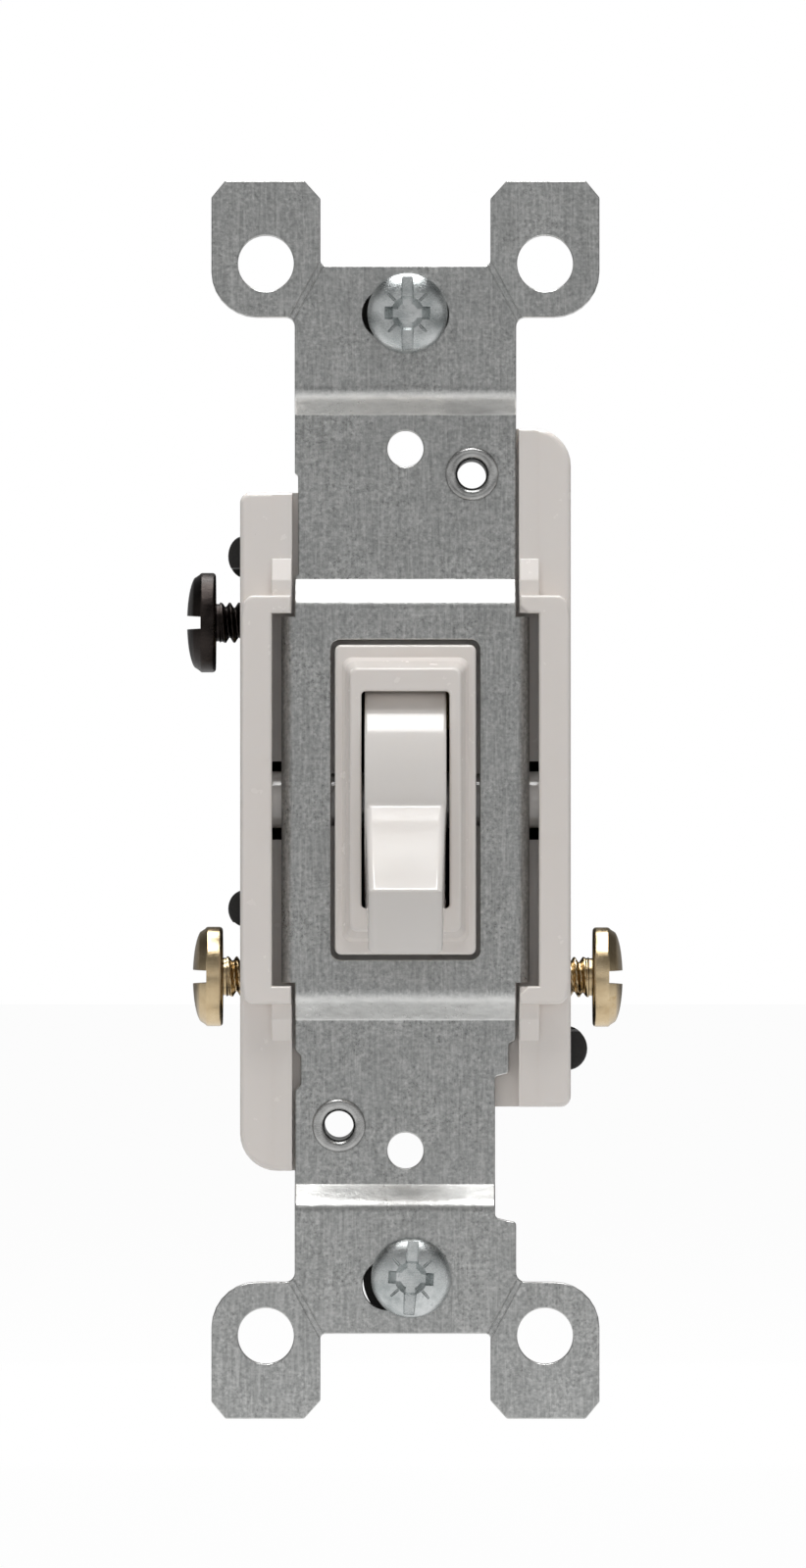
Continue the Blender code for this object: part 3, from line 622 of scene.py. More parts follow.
# depth of the mid-surface at the ears and at the raised lands
EAR_DEPTH, LAND_DEPTH = -STRAP_T / 2, STRAP_MAX.y - STRAP_T / 2
BENDS = ((35.4, 33.1), (19.0, 16.3))  # heights where each slope starts and ends
FLANGE_X, FLANGE_Z, FLANGE_BACK, FOLD_R = 10.65, 15.7, 0.7, 0.4
WINDOW_X, WINDOW_Z, WINDOW_R = 12.8, 27.5, 0.8
SLOT_Z, SLOT_W, SLOT_H = 41.67, 7.4, 4.2
PLATE_HOLE_Z = MOUNTS["wallplate_land_upper"]["pos_m"][2] * 1000
EAR_HOLE_X, EAR_HOLE_Z, EAR_HOLE_R = 11.98, 46.04, 2.4
SCORE_ENDS, SCORE_SHIFT = ((9.75, 41.3), (7.22, 46.0)), 0.23

# corners as (x, z, radius), from the top down; the left edge is given with x positive
EAR_CORNERS = [
    (EAR_IN, BRIDGE_TOP, 0.45), (EAR_IN, EAR_TOP - 1.55, 0.3), (EAR_IN + 1.4, EAR_TOP, 0.3),
    (EAR_X - 1.2, EAR_TOP, 0.3), (EAR_X, EAR_TOP - 1.45, 0.3), (EAR_X, EAR_LOW, 3.9),
]
WAIST = [
    (STRAP_X, FLANGE_Z - 0.1, 0.25), (STRAP_X - 0.5, FLANGE_Z - 0.7, 0.25),
    (STRAP_X - 0.5, -FLANGE_Z + 0.7, 0.25), (STRAP_X, -FLANGE_Z + 0.1, 0.25),
]
RIGHT_EDGE = [(STRAP_X, EAR_LOW, 0.8), *WAIST] + [
    (STRAP_X, -20.7, 0.3), (8.9, -20.9, 0.3), (8.9, -23.5, 0.3), (7.7, -23.8, 0.3),
    (7.7, -35.9, 0.4), (STRAP_X, -36.3, 0.3), (STRAP_X, -EAR_LOW, 0.8),
]
LEFT_EDGE = [
    (STRAP_X, EAR_LOW, 0.8), (STRAP_X, 28.0, 0.3), (9.22, 27.8, 0.3), (9.22, 19.4, 0.3),
    (STRAP_X, 19.1, 0.3), *WAIST, (STRAP_X, -21.5, 0.3), (9.0, -22.0, 0.4),
    (9.0, -24.5, 0.4), (STRAP_X, -25.0, 0.3), (STRAP_X, -EAR_LOW, 0.8),
]


def strap_outline():
    low_ear = [(x, -z, radius) for x, z, radius in reversed(EAR_CORNERS)]
    right = EAR_CORNERS + RIGHT_EDGE + low_ear
    left = EAR_CORNERS + LEFT_EDGE + low_ear
    return rounded(right + [(-x, z, radius) for x, z, radius in reversed(left)], 7)


def smooth_step(place, ease=0.24):
    """A straight ramp from 0 to 1 with a rounded start and end."""
    place = min(max(place, 0.0), 1.0)
    slope = 1 / (1 - ease)
    if place < ease:
        return slope * place * place / (2 * ease)
    if place > 1 - ease:
        return 1 - slope * (1 - place) ** 2 / (2 * ease)
    return slope * (place - ease / 2)


def bend_height(z):
    """Depth of the strap's mid-surface at height z."""
    z = abs(z)
    back, forth = [smooth_step((start - z) / (start - end)) for start, end in BENDS]
    return EAR_DEPTH + (LAND_DEPTH - EAR_DEPTH) * (back - forth)


def bend(point):
    """Lays a point of the flat sheet on the bent one."""
    probe = 1e-3
    slope = (bend_height(point.z + probe) - bend_height(point.z - probe)) / (2 * probe)
    length = math.hypot(1, slope)
    y = bend_height(point.z) + point.y / length
    return (point.x, y, point.z - point.y * slope / length)


def eyelet_bore(side, radius, mouth, end, *rims):
    return bore(circle((side * EYELET_X, side * EYELET_Z), radius), "Y", mouth, end, *rims)


def strap_holes():
    faces = (-STRAP_T / 2, STRAP_T / 2)
    window = rectangle(WINDOW_X / 2, WINDOW_Z / 2, WINDOW_R, 6)
    holes = [bore(window, "Y", *faces, 0.10, 0.08)]
    for side in SIDES:
        holes.append(bore(stadium((0, side * SLOT_Z), SLOT_W, SLOT_H), "Y", *faces, 0.12, 0.08))
    for side in SIDES:
        holes.append(bore(circle((0, side * PLATE_HOLE_Z), 1.55), "Y", *faces, 0.16, 0.10))
    holes += [eyelet_bore(side, 1.65, *faces, 0.10, 0.08) for side in SIDES]
    for side in SIDES:
        for end in SIDES:
            hole = circle((side * EAR_HOLE_X, end * EAR_HOLE_Z), EAR_HOLE_R, 64)
            holes.append(bore(hole, "Y", *faces, 0.14, 0.08))
    return holes


def strap_scores():
    """Break-off lines between ears and bridge: pairs of shallow V cuts in the front face."""
    front = -STRAP_T / 2
    scores = []
    for side in SIDES:
        for end in SIDES:
            for shift in (-SCORE_SHIFT, SCORE_SHIFT):
                low, high = (Vector(point) for point in SCORE_ENDS)
                along = (high - low).normalized()
                across = Vector((-along.y, along.x))
                low = low - along * 0.5 + across * shift
                high = high + along * 0.5 + across * shift
                loops = []
                for half, y in ((0.08, front - 0.05), (0.08, front), (0.02, front + 0.06)):
                    line = ribbon(low, high, across, half)
                    loops.append(([(side * p.x, end * p.y) for p in line], y))
                scores.append(loft(loops))
    return scores


def slice_bends(sheet):
    """Cuts the sheet across at the bends, so that it has points to bend at."""
    shell = bmesh.new()
    shell.from_mesh(sheet.data)
    for start, end in BENDS:
        for k in range(15):
            for side in SIDES:
                z = side * (start + 0.25 + (end - start - 0.5) * k / 14)
                geometry = shell.verts[:] + shell.edges[:] + shell.faces[:]
                bmesh.ops.bisect_plane(
                    shell, geom=geometry, plane_co=(0, 0, z), plane_no=(0, 0, 1), dist=1e-6,
                )
    shell.to_mesh(sheet.data)
    shell.free()


def flange_profile():
    """Section (x, y) of the right flange: flat at the strap, folded back at its edge."""
    x, y = FLANGE_X - STRAP_T - FOLD_R, FOLD_R
    wide, turn = FOLD_R + STRAP_T, angles(10)
    outer = [(x + wide * math.sin(a), y - wide * math.cos(a)) for a in turn]
    inner = [(x + FOLD_R * math.sin(a), y - FOLD_R * math.cos(a)) for a in reversed(turn)]
    back = [(FLANGE_X, FLANGE_BACK), (FLANGE_X - STRAP_T, FLANGE_BACK)]
    return [(7.8, -STRAP_T)] + outer + back + inner + [(7.8, 0)]


def make_strap():
    sheet = soft(strap_outline(), "Y", (-STRAP_T / 2, STRAP_T / 2), 0.14, 0.10, 3)
    cut(sheet, *strap_holes())
    cut(sheet, *strap_scores())
    slice_bends(sheet)
    reshape(sheet, bend)
    for side in SIDES:
        fold = [(side * x, y) for x, y in flange_profile()]
        join(sheet, soft(fold, "Z", (-FLANGE_Z, FLANGE_Z), 0, 0))
    finish(sheet, "mounting_strap", GALVANISED, "housing", "strap", 30)


# ---------------------------------------------------------------- white front frame

RIM_Y, FRAME_BACK = FRAME_MIN.y, FRAME_MAX.y
RAIL_Y, MID_Y, LOBE_Y = -1.85, -0.85, 0.2  # front faces of the rails, steps and lobes
RAIL_X, STRIP_X = 11.45, 9.75
SLOT_HALF_X = 3.77
FAR_FRONT = -4  # in front of all that block cuts take away
# bezel sections as (half x, half z, corner radius, y), from the back to the rim
BEZEL = (
    (5.55, 12.35, 0.9, 1.0), (5.55, 12.35, 0.9, -1.55), (5.42, 12.20, 0.85, -1.95),
    (5.22, 11.97, 0.8, -2.25), (5.12, 11.83, 0.8, -2.7), (4.80, 11.34, 0.7, RIM_Y + 0.34),
    (4.77, 11.30, 0.7, RIM_Y + 0.18), (4.71, 11.23, 0.66, RIM_Y + 0.07),
    (4.63, 11.14, 0.6, RIM_Y + 0.015), (4.55, 11.05, 0.55, RIM_Y),
)
# side section of the step behind each hook, as (y, z, corner radius)
STEP = (
    (1.2, 16.05, 0), (MID_Y, 16.05, 0), (MID_Y, 18.85, 0.35),
    (LOBE_Y - 0.05, 20.75, 0.25), (1.2, 20.75, 0),
)


def body_outline():
    """The outline that frame and base share: one lobe up on the right, one down on the left."""
    half = [
        (-BODY_X, 26.4, 0.9), (2.8, 26.4, 0.4), (2.8, BODY_Z, 0.6), (BODY_X, BODY_Z, 3.2),
    ]
    return rounded(half + [(-x, -z, radius) for x, z, radius in half], 8)


def shaft_cutter():
    hole = circle((PIVOT.y, 0), SHAFT_R + GAP, 64)
    return soft(hole, "X", (-SHAFT_X - GAP, SHAFT_X + GAP), 0, 0)


def add_rails(body):
    """Rails beside the window, each running into hooks that lap the strap's shoulders."""
    tip = [(13.0 + 0.95 * math.sin(a), 16.55 + 1.0 * math.cos(a)) for a in angles(8)]
    edge = STRIP_X + 0.05
    for side in SIDES:
        start = [(STRIP_X + 0.75, 16.0), (edge, 16.65)] if side > 0 else [(edge, 16.0)]
        upper = [(RAIL_X, 16.0)] + start + [(edge, 17.55)] + tip + [(BODY_X - 0.12, 15.6)]
        points = upper + [(x, -z) for x, z in reversed(upper)]
        points = [(side * x, z) for x, z in points]
        join(body, soft(points, "Y", (RAIL_Y, 1.5), 0.28, 0, 4))
        for end in SIDES:
            step = rounded([(y, end * z, radius) for y, z, radius in STEP], 4)
            width = span(side, STRIP_X + 0.02, RAIL_X + 0.05)
            join(body, soft(step, "X", width, 0.15, 0.15, 3))


def cut_drum_room(body):
    slot = bore(rectangle(SLOT_HALF_X, 9.3, 0.35, 4), "Y", RIM_Y, 9, 0.22, 0, 4)
    drum = circle((PIVOT.y, 0), DRUM_R + GAP, 144)
    barrel = soft(drum, "X", (-SLOT_HALF_X, SLOT_HALF_X), 0, 0)
    shaft_x, shaft_z = SHAFT_X + GAP, SHAFT_R + GAP
    behind = block((-shaft_x, shaft_x), (PIVOT.y, 8), (-shaft_z, shaft_z))
    return slot, barrel, shaft_cutter(), behind


def make_frame():
    body = soft(body_outline(), "Y", (LOBE_Y, FRAME_BACK), 0.45, 0.12, 5)
    strip = (-STRIP_X, STRIP_X)
    cut(body, *[block(strip, (FAR_FRONT, 2.3), span(end, 15.9, 40)) for end in SIDES])
    cut(body, block((-RAIL_X, RAIL_X), (FAR_FRONT, 3.3), (-16.0, 16.0)))
    join(body, block((-9.1, 9.1), (1.9, 4.0), (-15.5, 15.5)))
    add_rails(body)
    foot = soft(rectangle(6.05, 13.3, 0.55), "Y", (-1.9, 3.0), 0.30, 0, 4)
    bezel = loft([(rectangle(x, z, radius, 6), y) for x, z, radius, y in BEZEL])
    join(body, foot, bezel)
    room = cut_drum_room(body)
    # the lobes' inner strips lie a touch lower than their outer parts
    for side in SIDES:
        for end in SIDES:
            depth = (FAR_FRONT, LOBE_Y + 0.09)
            cut(body, block(span(side, 9.0, RAIL_X), depth, span(end, 20.9, 40)))
    cut(body, *room)
    notches = [block(span(s, 8.9, RAIL_X + 0.01), (FAR_FRONT, 8), (-3.45, 3.3)) for s in (-1, 1)]
    cut(body, *notches, *[eyelet_bore(side, 1.75, 2.3, 9, 0.1) for side in SIDES])
    # witness lines that the mould's side pins leave across the rails
    for side in SIDES:
        for z, reach in ((3.30, 13.1), (-3.42, 12.9)):
            depth = (RAIL_Y - 0.2, RAIL_Y + 0.035)
            cut(body, block(span(side, RAIL_X - 0.1, reach), depth, (z, z + 0.13)))
    # hollows on the hidden side, so that the walls are even
    hollows = [
        block(span(side, 4.6, 9.0), (4.4, 9), span(end, 5.0, 13.6))
        for side in (-1, 1) for end in SIDES
    ]
    cut(body, *hollows)
    finish(body, "front_housing", FRAME_WHITE, "housing", "front_frame", 28)


# ---------------------------------------------------------------- dark rear base

BASE_MIN, BASE_MAX = mm_box("rear_base")
BASE_FRONT, BASE_BACK, LUG_BACK, BLOCK_Z = BASE_MIN.y, BASE_MAX.y, 14.0, 25.2
BASE_CORNERS = ((-1, 1), (-1, -1), (1, -1))  # the corners that have a terminal
# wire stops as (side, reach, z range)
NOSES = ((-1, 15.3, (19.25, 22.75)), (-1, 15.3, (-11.0, -7.85)), (1, 15.7, (-23.35, -19.65)))
# hollows as (x range, y range, z range)
CHAMBERS = (
    ((-6.3, 6.3), (5, 22), (-13.4, 13.4)),
    ((7.5, 12.6), (5, 22), (-23, 23)),
    ((-12.6, -7.5), (5, 22), (-23, 23)),
)
SCREW_WINDOWS = (
    ((-16, -11), (5.9, 15.3), (10.6, 20.0)),
    ((-16, -11), (5.9, 15.3), (-20.0, -10.6)),
    ((11, 16), (5.9, 15.3), (-20.05, -10.65)),
)
BAR_NOTCHES = (
    ((-8, -6), (20.0, 23), (10.9, 13.2)),
    ((-8, -6), (17.65, 19.05), (-13.2, -10.9)),
    ((6, 8), (17.65, 19.05), (5.7, 10.3)),
)


def nose(side, reach, z):
    """A rounded wire stop on the base's side."""
    middle, half = (z[0] + z[1]) / 2, (z[1] - z[0]) / 2
    arc = [
        (side * (14.0 + (reach - 14.0) * math.cos(a)), middle + half * math.sin(a))
        for a in half_turn(16)
    ]
    points = [(side * 13.4, z[0])] + arc + [(side * 13.4, z[1])]
    return soft(points, "Y", (8.0, 17.0), 0.25, 0.25, 3)


def back_marks():
    """Holes, trough, pin marks and panel, all sunk from the back."""
    marks = []
    for side, end in BASE_CORNERS:
        marks.append(bore(circle((side * 10.2, end * 16.5), 1.2, 40), "Y", BASE_BACK, 20, 0.7, 0, 6))
    for side, end in BASE_CORNERS:
        across = (side * 10.2 - 2.0, side * 10.2 + 2.0)
        slot = box_outline(across, span(end, 20.3, 21.6), 0.3, 4)
        marks.append(bore(slot, "Y", BASE_BACK, 20, 0.25))
    marks += [eyelet_bore(side, 1.75, LUG_BACK, 5, 0.2) for side in SIDES]
    # trough that shows how much of a wire to strip
    marks.append(bore(stadium((0, 21.6), 11.5, 2.0), "Y", BASE_BACK, BASE_BACK - 0.8, 0.3))
    # marks of the mould's ejector pins
    for x, z in ((0, 8.0), (0, -8.0), (-10.2, 0), (10.2, 0)):
        marks.append(bore(circle((x, z), 1.3, 40), "Y", BASE_BACK, BASE_BACK - 0.12, 0.05))
    panel = box_outline((-6.4, 6.4), (-19.5, 16.5), 0.9, 6)
    marks.append(bore(panel, "Y", BASE_BACK, BASE_BACK - 0.35, 0.15))
    return marks


def make_base():
    base = soft(body_outline(), "Y", (BASE_FRONT, LUG_BACK), 0.15, 0.5, 5)
    deep = rectangle(BODY_X - 0.05, BLOCK_Z, 1.3, 8)
    join(base, soft(deep, "Y", (LUG_BACK - 2, BASE_BACK), 0.2, 0.9, 5))
    join(base, *[nose(*row) for row in NOSES])
    cut(base, *[block(*ranges) for ranges in CHAMBERS])
    cut(base, *[block(*ranges, 0.25) for ranges in SCREW_WINDOWS], shaft_cutter())
    cut(base, *[block(*ranges) for ranges in BAR_NOTCHES])
    cut(base, *back_marks())
    grooves = []
    for side in (-1, 1):
        for z in (-22.2, -3.0, -1.0, 1.0, 3.0):
            groove = box_outline((16.8, 23.6), (z - 0.35, z + 0.35), 0.3, 4)
            mouth, floor = side * (BODY_X - 0.05), side * (BODY_X - 0.45)
            grooves.append(bore(groove, "X", mouth, floor, 0.1))
    cut(base, *grooves)
    finish(base, "rear_housing", THERMOSET, "housing", "rear_base", 28)


# ---------------------------------------------------------------- handle, plunger, spring

PUSH = Vector(JOINTS["plunger_slide"]["axis"])
TILT = math.atan2(-PUSH.z, -PUSH.y)
DRUM_X, DRUM_RIM = 3.5, 0.28
HANDLE_TIP = -24.0
TIP_HALF_Z, ROOT_HALF_Z, SIDE_RUN = 3.10, 5.05, 18.5
TIP_HALF_X, ROOT_HALF_X, WIDTH_RUN = 3.14, 3.42, 13.4
TIP_RIM, HANDLE_RIM = 0.5, 0.62
TIP_DOME, DOME_HALF, TIP_CORNER, FILLET = 0.22, 2.6, 0.34, 0.55
HANDLE_SLOPE = (ROOT_HALF_Z - TIP_HALF_Z) / SIDE_RUN


def tilted(obj):
    """Turns a piece built straight about its pivot to its rest angle."""
    turn = Matrix.Rotation(TILT, 3, "X")
    reshape(obj, lambda p: turn @ p + Vector((0, PIVOT.y, PIVOT.z)))


def handle_edge(y):
    """Half height of the handle at depth y."""
    return TIP_HALF_Z + HANDLE_SLOPE * (y - HANDLE_TIP)


def handle_width(y):
    """Half width of the handle at depth y."""
    return TIP_HALF_X + (ROOT_HALF_X - TIP_HALF_X) * (y - HANDLE_TIP) / WIDTH_RUN


def handle_profile():
    """Side view of drum and handle about the pivot, as (y, z, rim radius, half width) rows."""
    # the fillet's centre is found by turns from the handle's edge and from the drum
    y = -10.5
    for _ in range(40):
        z = handle_edge(y) + FILLET * math.hypot(1, HANDLE_SLOPE)
        y = -math.sqrt((DRUM_R + FILLET) ** 2 - z * z)
    centre = Vector((y, z))
    on_line = centre - Vector((-HANDLE_SLOPE, 1)).normalized() * FILLET
    on_drum = centre * DRUM_R / (DRUM_R + FILLET)
    start = math.atan2(*(on_line - centre).yx)
    end = math.atan2(*(on_drum - centre).yx)
    if end - start > math.pi:
        end -= 2 * math.pi
    if start - end > math.pi:
        end += 2 * math.pi

    upper = []
    # tip: a gently domed end, then a rounded corner
    for k in range(7):
        z = DOME_HALF * k / 6
        y = HANDLE_TIP + TIP_DOME * (z / DOME_HALF) ** 2
        upper.append((y, z, TIP_RIM, TIP_HALF_X))
    for k, angle in enumerate(angles(8)[1:], 1):
        y = HANDLE_TIP + TIP_DOME + TIP_CORNER - TIP_CORNER * math.cos(angle)
        z = TIP_HALF_Z - TIP_CORNER + TIP_CORNER * math.sin(angle)
        upper.append((y, z, TIP_RIM + (HANDLE_RIM - TIP_RIM) * k / 8, handle_width(y)))
    # straight edge
    straight = HANDLE_TIP + TIP_DOME + TIP_CORNER
    for k in range(1, 12):
        y = straight + (on_line.x - straight) * k / 12
        upper.append((y, handle_edge(y), HANDLE_RIM, handle_width(y)))
    # fillet
    root_width = handle_width(on_line.x)
    for k in range(9):
        angle = start + (end - start) * k / 8
        part = k / 8
        y, z = centre.x + FILLET * math.cos(angle), centre.y + FILLET * math.sin(angle)
        edge = HANDLE_RIM - (HANDLE_RIM - DRUM_RIM) * part
        upper.append((y, z, edge, root_width + (DRUM_X - root_width) * part))
    # drum, down to a flat 1 mm in front of the pivot
    first = math.atan2(on_drum.y, on_drum.x)
    last = math.atan2(math.sqrt(DRUM_R * DRUM_R - 1.0), -1.0)
    for k in range(1, 57):
        angle = first + (last - first) * k / 56
        upper.append((DRUM_R * math.cos(angle), DRUM_R * math.sin(angle), DRUM_RIM, DRUM_X))
    return upper + [(y, -z, edge, width) for y, z, edge, width in reversed(upper[1:])]


def make_handle():
    outline = handle_profile()
    flat = [row[:2] for row in outline]
    shell = bmesh.new()
    rings = []
    for side in (-1, 1):
        for angle in angles(6)[::-side]:
            grown = grow(flat, [-edge * (1 - math.sin(angle)) for _, _, edge, _ in outline])
            ring = []
            for (y, z), (_, _, edge, width) in zip(grown, outline):
                ring.append(shell.verts.new((side * (width - edge * (1 - math.cos(angle))), y, z)))
            rings.append(ring)
    skin(shell, rings)
    bmesh.ops.triangulate(shell, faces=[face for face in shell.faces if len(face.verts) > 4])
    lever = fresh(shell)
    shaft = soft(circle((0, 0), SHAFT_R, 72), "X", (-SHAFT_X, SHAFT_X), 0.3, 0.3, 4)
    core = soft(rectangle(3.1, 4.6, 0.5), "Y", (-2.0, 3.2), 0, 0.3, 4)
    guide = soft(rectangle(2.7, 2.7, 0.5), "Y", (1.0, 9.5), 0, 0.35, 4)
    join(lever, shaft, core, guide)
    cut(lever, bore(circle((0, 0), 1.6, 48), "Y", 9.5, 0.5, 0.2))
    tilted(lever)
    finish(lever, "handle", HANDLE_WHITE, "toggle", "toggle_lever", 30)


def make_plunger():
    tip, radius = 12.0, 1.3
    rows = [(0, 3.7), (radius - 0.25, 3.7), (radius - 0.08, 3.76), (radius, 3.95)]
    rows += [(radius, tip - radius)]
    for angle in angles(12)[1:12]:
        rows.append((radius * math.cos(angle), tip - radius + radius * math.sin(angle)))
    pin = lathe(rows + [(0, tip)], 48)
    reshape(pin, lambda p: (p.x, p.z, -p.y))
    tilted(pin)
    righted(pin)
    finish(pin, "plunger_pin", SPRING, "plunger", "plunger", 35)


def make_spring():
    """A compression spring along Y whose end turns lie flat."""
    wire_r, coil_r, front, back, turns = 0.165, 1.1, 0.8, 3.4, 5
    ease = 0.16  # part of the length over which each end's pitch fades
    count, sides = 36 * turns, 12
    shell = bmesh.new()
    rings = []
    for k in range(count + 1):
        part = k / count
        if part < ease:
            lift = 0.5 * (part / ease) ** 2 * ease
        elif part > 1 - ease:
            lift = (1 - ease) - 0.5 * ((1 - part) / ease) ** 2 * ease
        else:
            lift = part - 0.5 * ease
        lift = min(max(lift / (1 - ease), 0), 1)
        angle = 2 * math.pi * turns * part
        out = Vector((math.cos(angle), 0, math.sin(angle)))
        y = front + (back - front) * lift
        centre = Vector((coil_r * math.cos(angle), y, coil_r * math.sin(angle)))
        ring = []
        for turn in angles(sides, 2 * math.pi)[:-1]:
            along = Vector((0, 1, 0)) * wire_r * math.sin(turn)
            ring.append(shell.verts.new(centre + out * wire_r * math.cos(turn) + along))
        rings.append(ring)
    skin(shell, rings)
    coil = fresh(shell)
    tilted(coil)
    finish(coil, "return_coil", SPRING, "toggle", "plunger_spring", 60, weigh=False)


# ---------------------------------------------------------------- contact arm and contacts

SADDLE_R, SADDLE_Z, ARM_T, ARM_X, ARM_Z = 12.35, 5.75, 0.9, 2.5, 10.0
ROCK_ANGLE = -math.radians(JOINTS["rocker_pivot"]["range_deg"][1] / 2)


def rocked(obj):
    turn = Matrix.Rotation(ROCK_ANGLE, 3, "X")
    reshape(obj, lambda p: turn @ (p - ROCK) + ROCK)


def contact_bore(side, mouth, end):
    return bore(circle((0, side * CONTACT_Z), 0.95, 40), "Y", mouth, end, 0.05)


def contact(name, node, z, facing, seat, body):
    """A contact button: its stem is sunk in its seat and its dome faces +y or -y."""
    rows = [(0, -1.3), (0.72, -1.3), (0.8, -1.22), (0.8, 0.0), (1.7, 0.0), (1.8, 0.08), (1.8, 0.42)]
    rows += [(1.8 - 0.8 * (1 - math.cos(a)), 0.42 + 0.3 * math.sin(a)) for a in angles(6)[1:]]
    button = lathe(rows + [(0.5, 0.785), (0, 0.8)], 48)
    place(button, lambda p: (p.x, seat + facing * p.z, z + p.y))
    if body == "rocker":
        rocked(button)
    finish(button, name, SILVER, body, node, 35)


def make_arm():
    heights = [SADDLE_Z * (k / 20 - 1) for k in range(41)]
    front = [(PIVOT.y + math.sqrt(SADDLE_R ** 2 - z * z), z) for z in heights]
    edge = front[0][0]
    back = edge + ARM_T
    profile = [(edge, -ARM_Z)] + front + [(edge, ARM_Z), (back, ARM_Z)]
    profile += [(y + ARM_T, z) for y, z in reversed(front)] + [(back, -ARM_Z)]
    arm = soft(profile, "X", (-ARM_X, ARM_X), 0.12, 0.12, 3)
    tabs = [block(span(side, 2.3, 2.95), (16.0, 18.3), (-1.4, 1.4), 0.12) for side in (-1, 1)]
    join(arm, *tabs)
    cut(arm, *[contact_bore(side, back, edge - 2) for side in SIDES])
    rocked(arm)
    finish(arm, "contact_arm", STRIP_BRASS, "rocker", "rocker_arm", 30)
    for side, part in ((1, "upper"), (-1, "lower")):
        z = side * CONTACT_Z
        contact("moving_button_" + part, "moving_contact_" + part, z, 1, back + 0.1, "rocker")
        contact("fixed_button_" + part, "fixed_contact_" + part, z, -1, STRIP_Y - 0.1, "housing")


# ---------------------------------------------------------------- terminals and wire clips

PLATE_X, PLATE_FRONT, PLATE_HALF_Z = (12.4, 11.5), 7.0, 4.1
PLATE_EDGE = 0.1
COMMON_BAR_Y = (20.4, 21.2)
TRAVELLER_BAR_Y = (STRIP_Y, STRIP_Y + PLATE_T)
# flat bars that run inwards from each plate, as (x range, z range)
COMMON_BARS = (((-11.9, -3.9), (11.25, 12.9)), ((-5.5, -3.9), (-0.8, 12.0)), ((-4.5, 2.0), (-0.8, 0.8)))
LEFT_BARS = (((-11.9, 2.2), (-12.9, -11.25)), ((-2.2, 2.2), (-12.0, -6.0)))
RIGHT_BARS = (((8.2, 11.9), (-12.9, -11.25)), ((8.2, 9.8), (-12.0, 9.9)), ((-2.2, 9.0), (6.1, 9.9)))
# one face of a wire clip, as (x away from the middle, y)
CLIP_PATH = (
    (7.9, 13.6), (7.9, 20.0), (7.98, 20.6), (8.2, 21.05), (8.5, 21.3),
    (8.8, 21.38), (9.1, 21.25), (9.3, 21.0), (9.9, 19.4), (11.1, 16.4),
)
CLIP_T = 0.35


def terminal_plate(side, z, bar_y, bars):
    """A plate on the base's side, with its bars."""
    low, high, back = z - PLATE_HALF_Z, z + PLATE_HALF_Z, bar_y[1]
    corners = [(PLATE_FRONT, low, 0.5), (back, low, 0.2), (back, high, 0.2), (PLATE_FRONT, high, 0.5)]
    plate = soft(rounded(corners, 5), "X", span(side, *PLATE_X), 0.08, 0.08, 3)
    for bar_x, bar_z in bars:
        join(plate, block(bar_x, bar_y, bar_z, PLATE_EDGE))
    return plate


def screw_bore(side, z):
    hole = circle((TERMINAL_Y, z), 1.87, 48)
    return bore(hole, "X", side * PLATE_X[0], side * 10, 0.15)


def make_common_terminal():
    plate = terminal_plate(-1, TERMINAL_Z, COMMON_BAR_Y, COMMON_BARS)
    # rounded edge that the contact arm rocks on
    half = 0.4
    edge = [(20.8, -half), (20.8, half), (ROCK.y, half)]
    for angle in angles(12, math.pi)[1:12]:
        edge.append((ROCK.y - half * math.sin(angle), half * math.cos(angle)))
    edge.append((ROCK.y, -half))
    join(plate, soft(edge, "X", (-1.9, 1.9), PLATE_EDGE, PLATE_EDGE, 2))
    cut(plate, screw_bore(-1, TERMINAL_Z))
    finish(plate, "common_terminal_plate", STRIP_BRASS, "housing", "common_terminal", 30)


def make_traveller(part, side, z, bars):
    plate = terminal_plate(side, z, TRAVELLER_BAR_Y, bars)
    cut(plate, screw_bore(side, z), contact_bore(side, TRAVELLER_BAR_Y[1], 15))
    node = "traveller_terminal_" + part
    finish(plate, "traveller_plate_" + part, STRIP_BRASS, "housing", node, 30)


def make_clip(part, side, end):
    inner = []
    for i, (x, y) in enumerate(CLIP_PATH):
        before = Vector(CLIP_PATH[max(i - 1, 0)])
        after = Vector(CLIP_PATH[min(i + 1, len(CLIP_PATH) - 1)])
        along = (after - before).normalized()
        inner.append((x + along.y * CLIP_T, y - along.x * CLIP_T))
    loop = [(side * x, y) for x, y in [*CLIP_PATH, *reversed(inner)]]
    clip = soft(loop, "Z", span(end, 15.0, 18.0), 0.08, 0.08, 2)
    finish(clip, "push_in_clip_" + part, SPRING, "housing", "wire_clip_" + part, 30)


def make_terminals():
    make_common_terminal()
    make_traveller("left", -1, -TERMINAL_Z, LEFT_BARS)
    make_traveller("right", 1, RIGHT_TERMINAL_Z, RIGHT_BARS)
    for part, (side, end) in zip(("common", "left", "right"), BASE_CORNERS):
        make_clip(part, side, end)


# ---------------------------------------------------------------- screws, washers, eyelets

PITCH, CREST, ROOT, THREAD_FADE = 0.794, 1.75, 1.30, 0.6


def thread_rows(low, high):
    """Rows of a threaded length, 12 to a pitch, marked by a negative radius."""
    count = int(abs(high - low) / PITCH * 12)
    return [(-1.0, low + (high - low) * k / count) for k in range(count + 1)]


def thread_between(low, high):
    """The radius of a thread that runs out at both ends."""

    def radius(z, angle):
        turn = (z / PITCH - angle / (2 * math.pi)) % 1.0
        ridge = min(max((1 - abs(2 * turn - 1) - 0.14) / 0.70, 0.0), 1.0)
        fade = min(1.0, (abs(z - low) + 0.02) / THREAD_FADE, (abs(high - z) + 0.02) / THREAD_FADE)
        return CREST - (CREST - ROOT) * fade * (1 - ridge)

    return radius


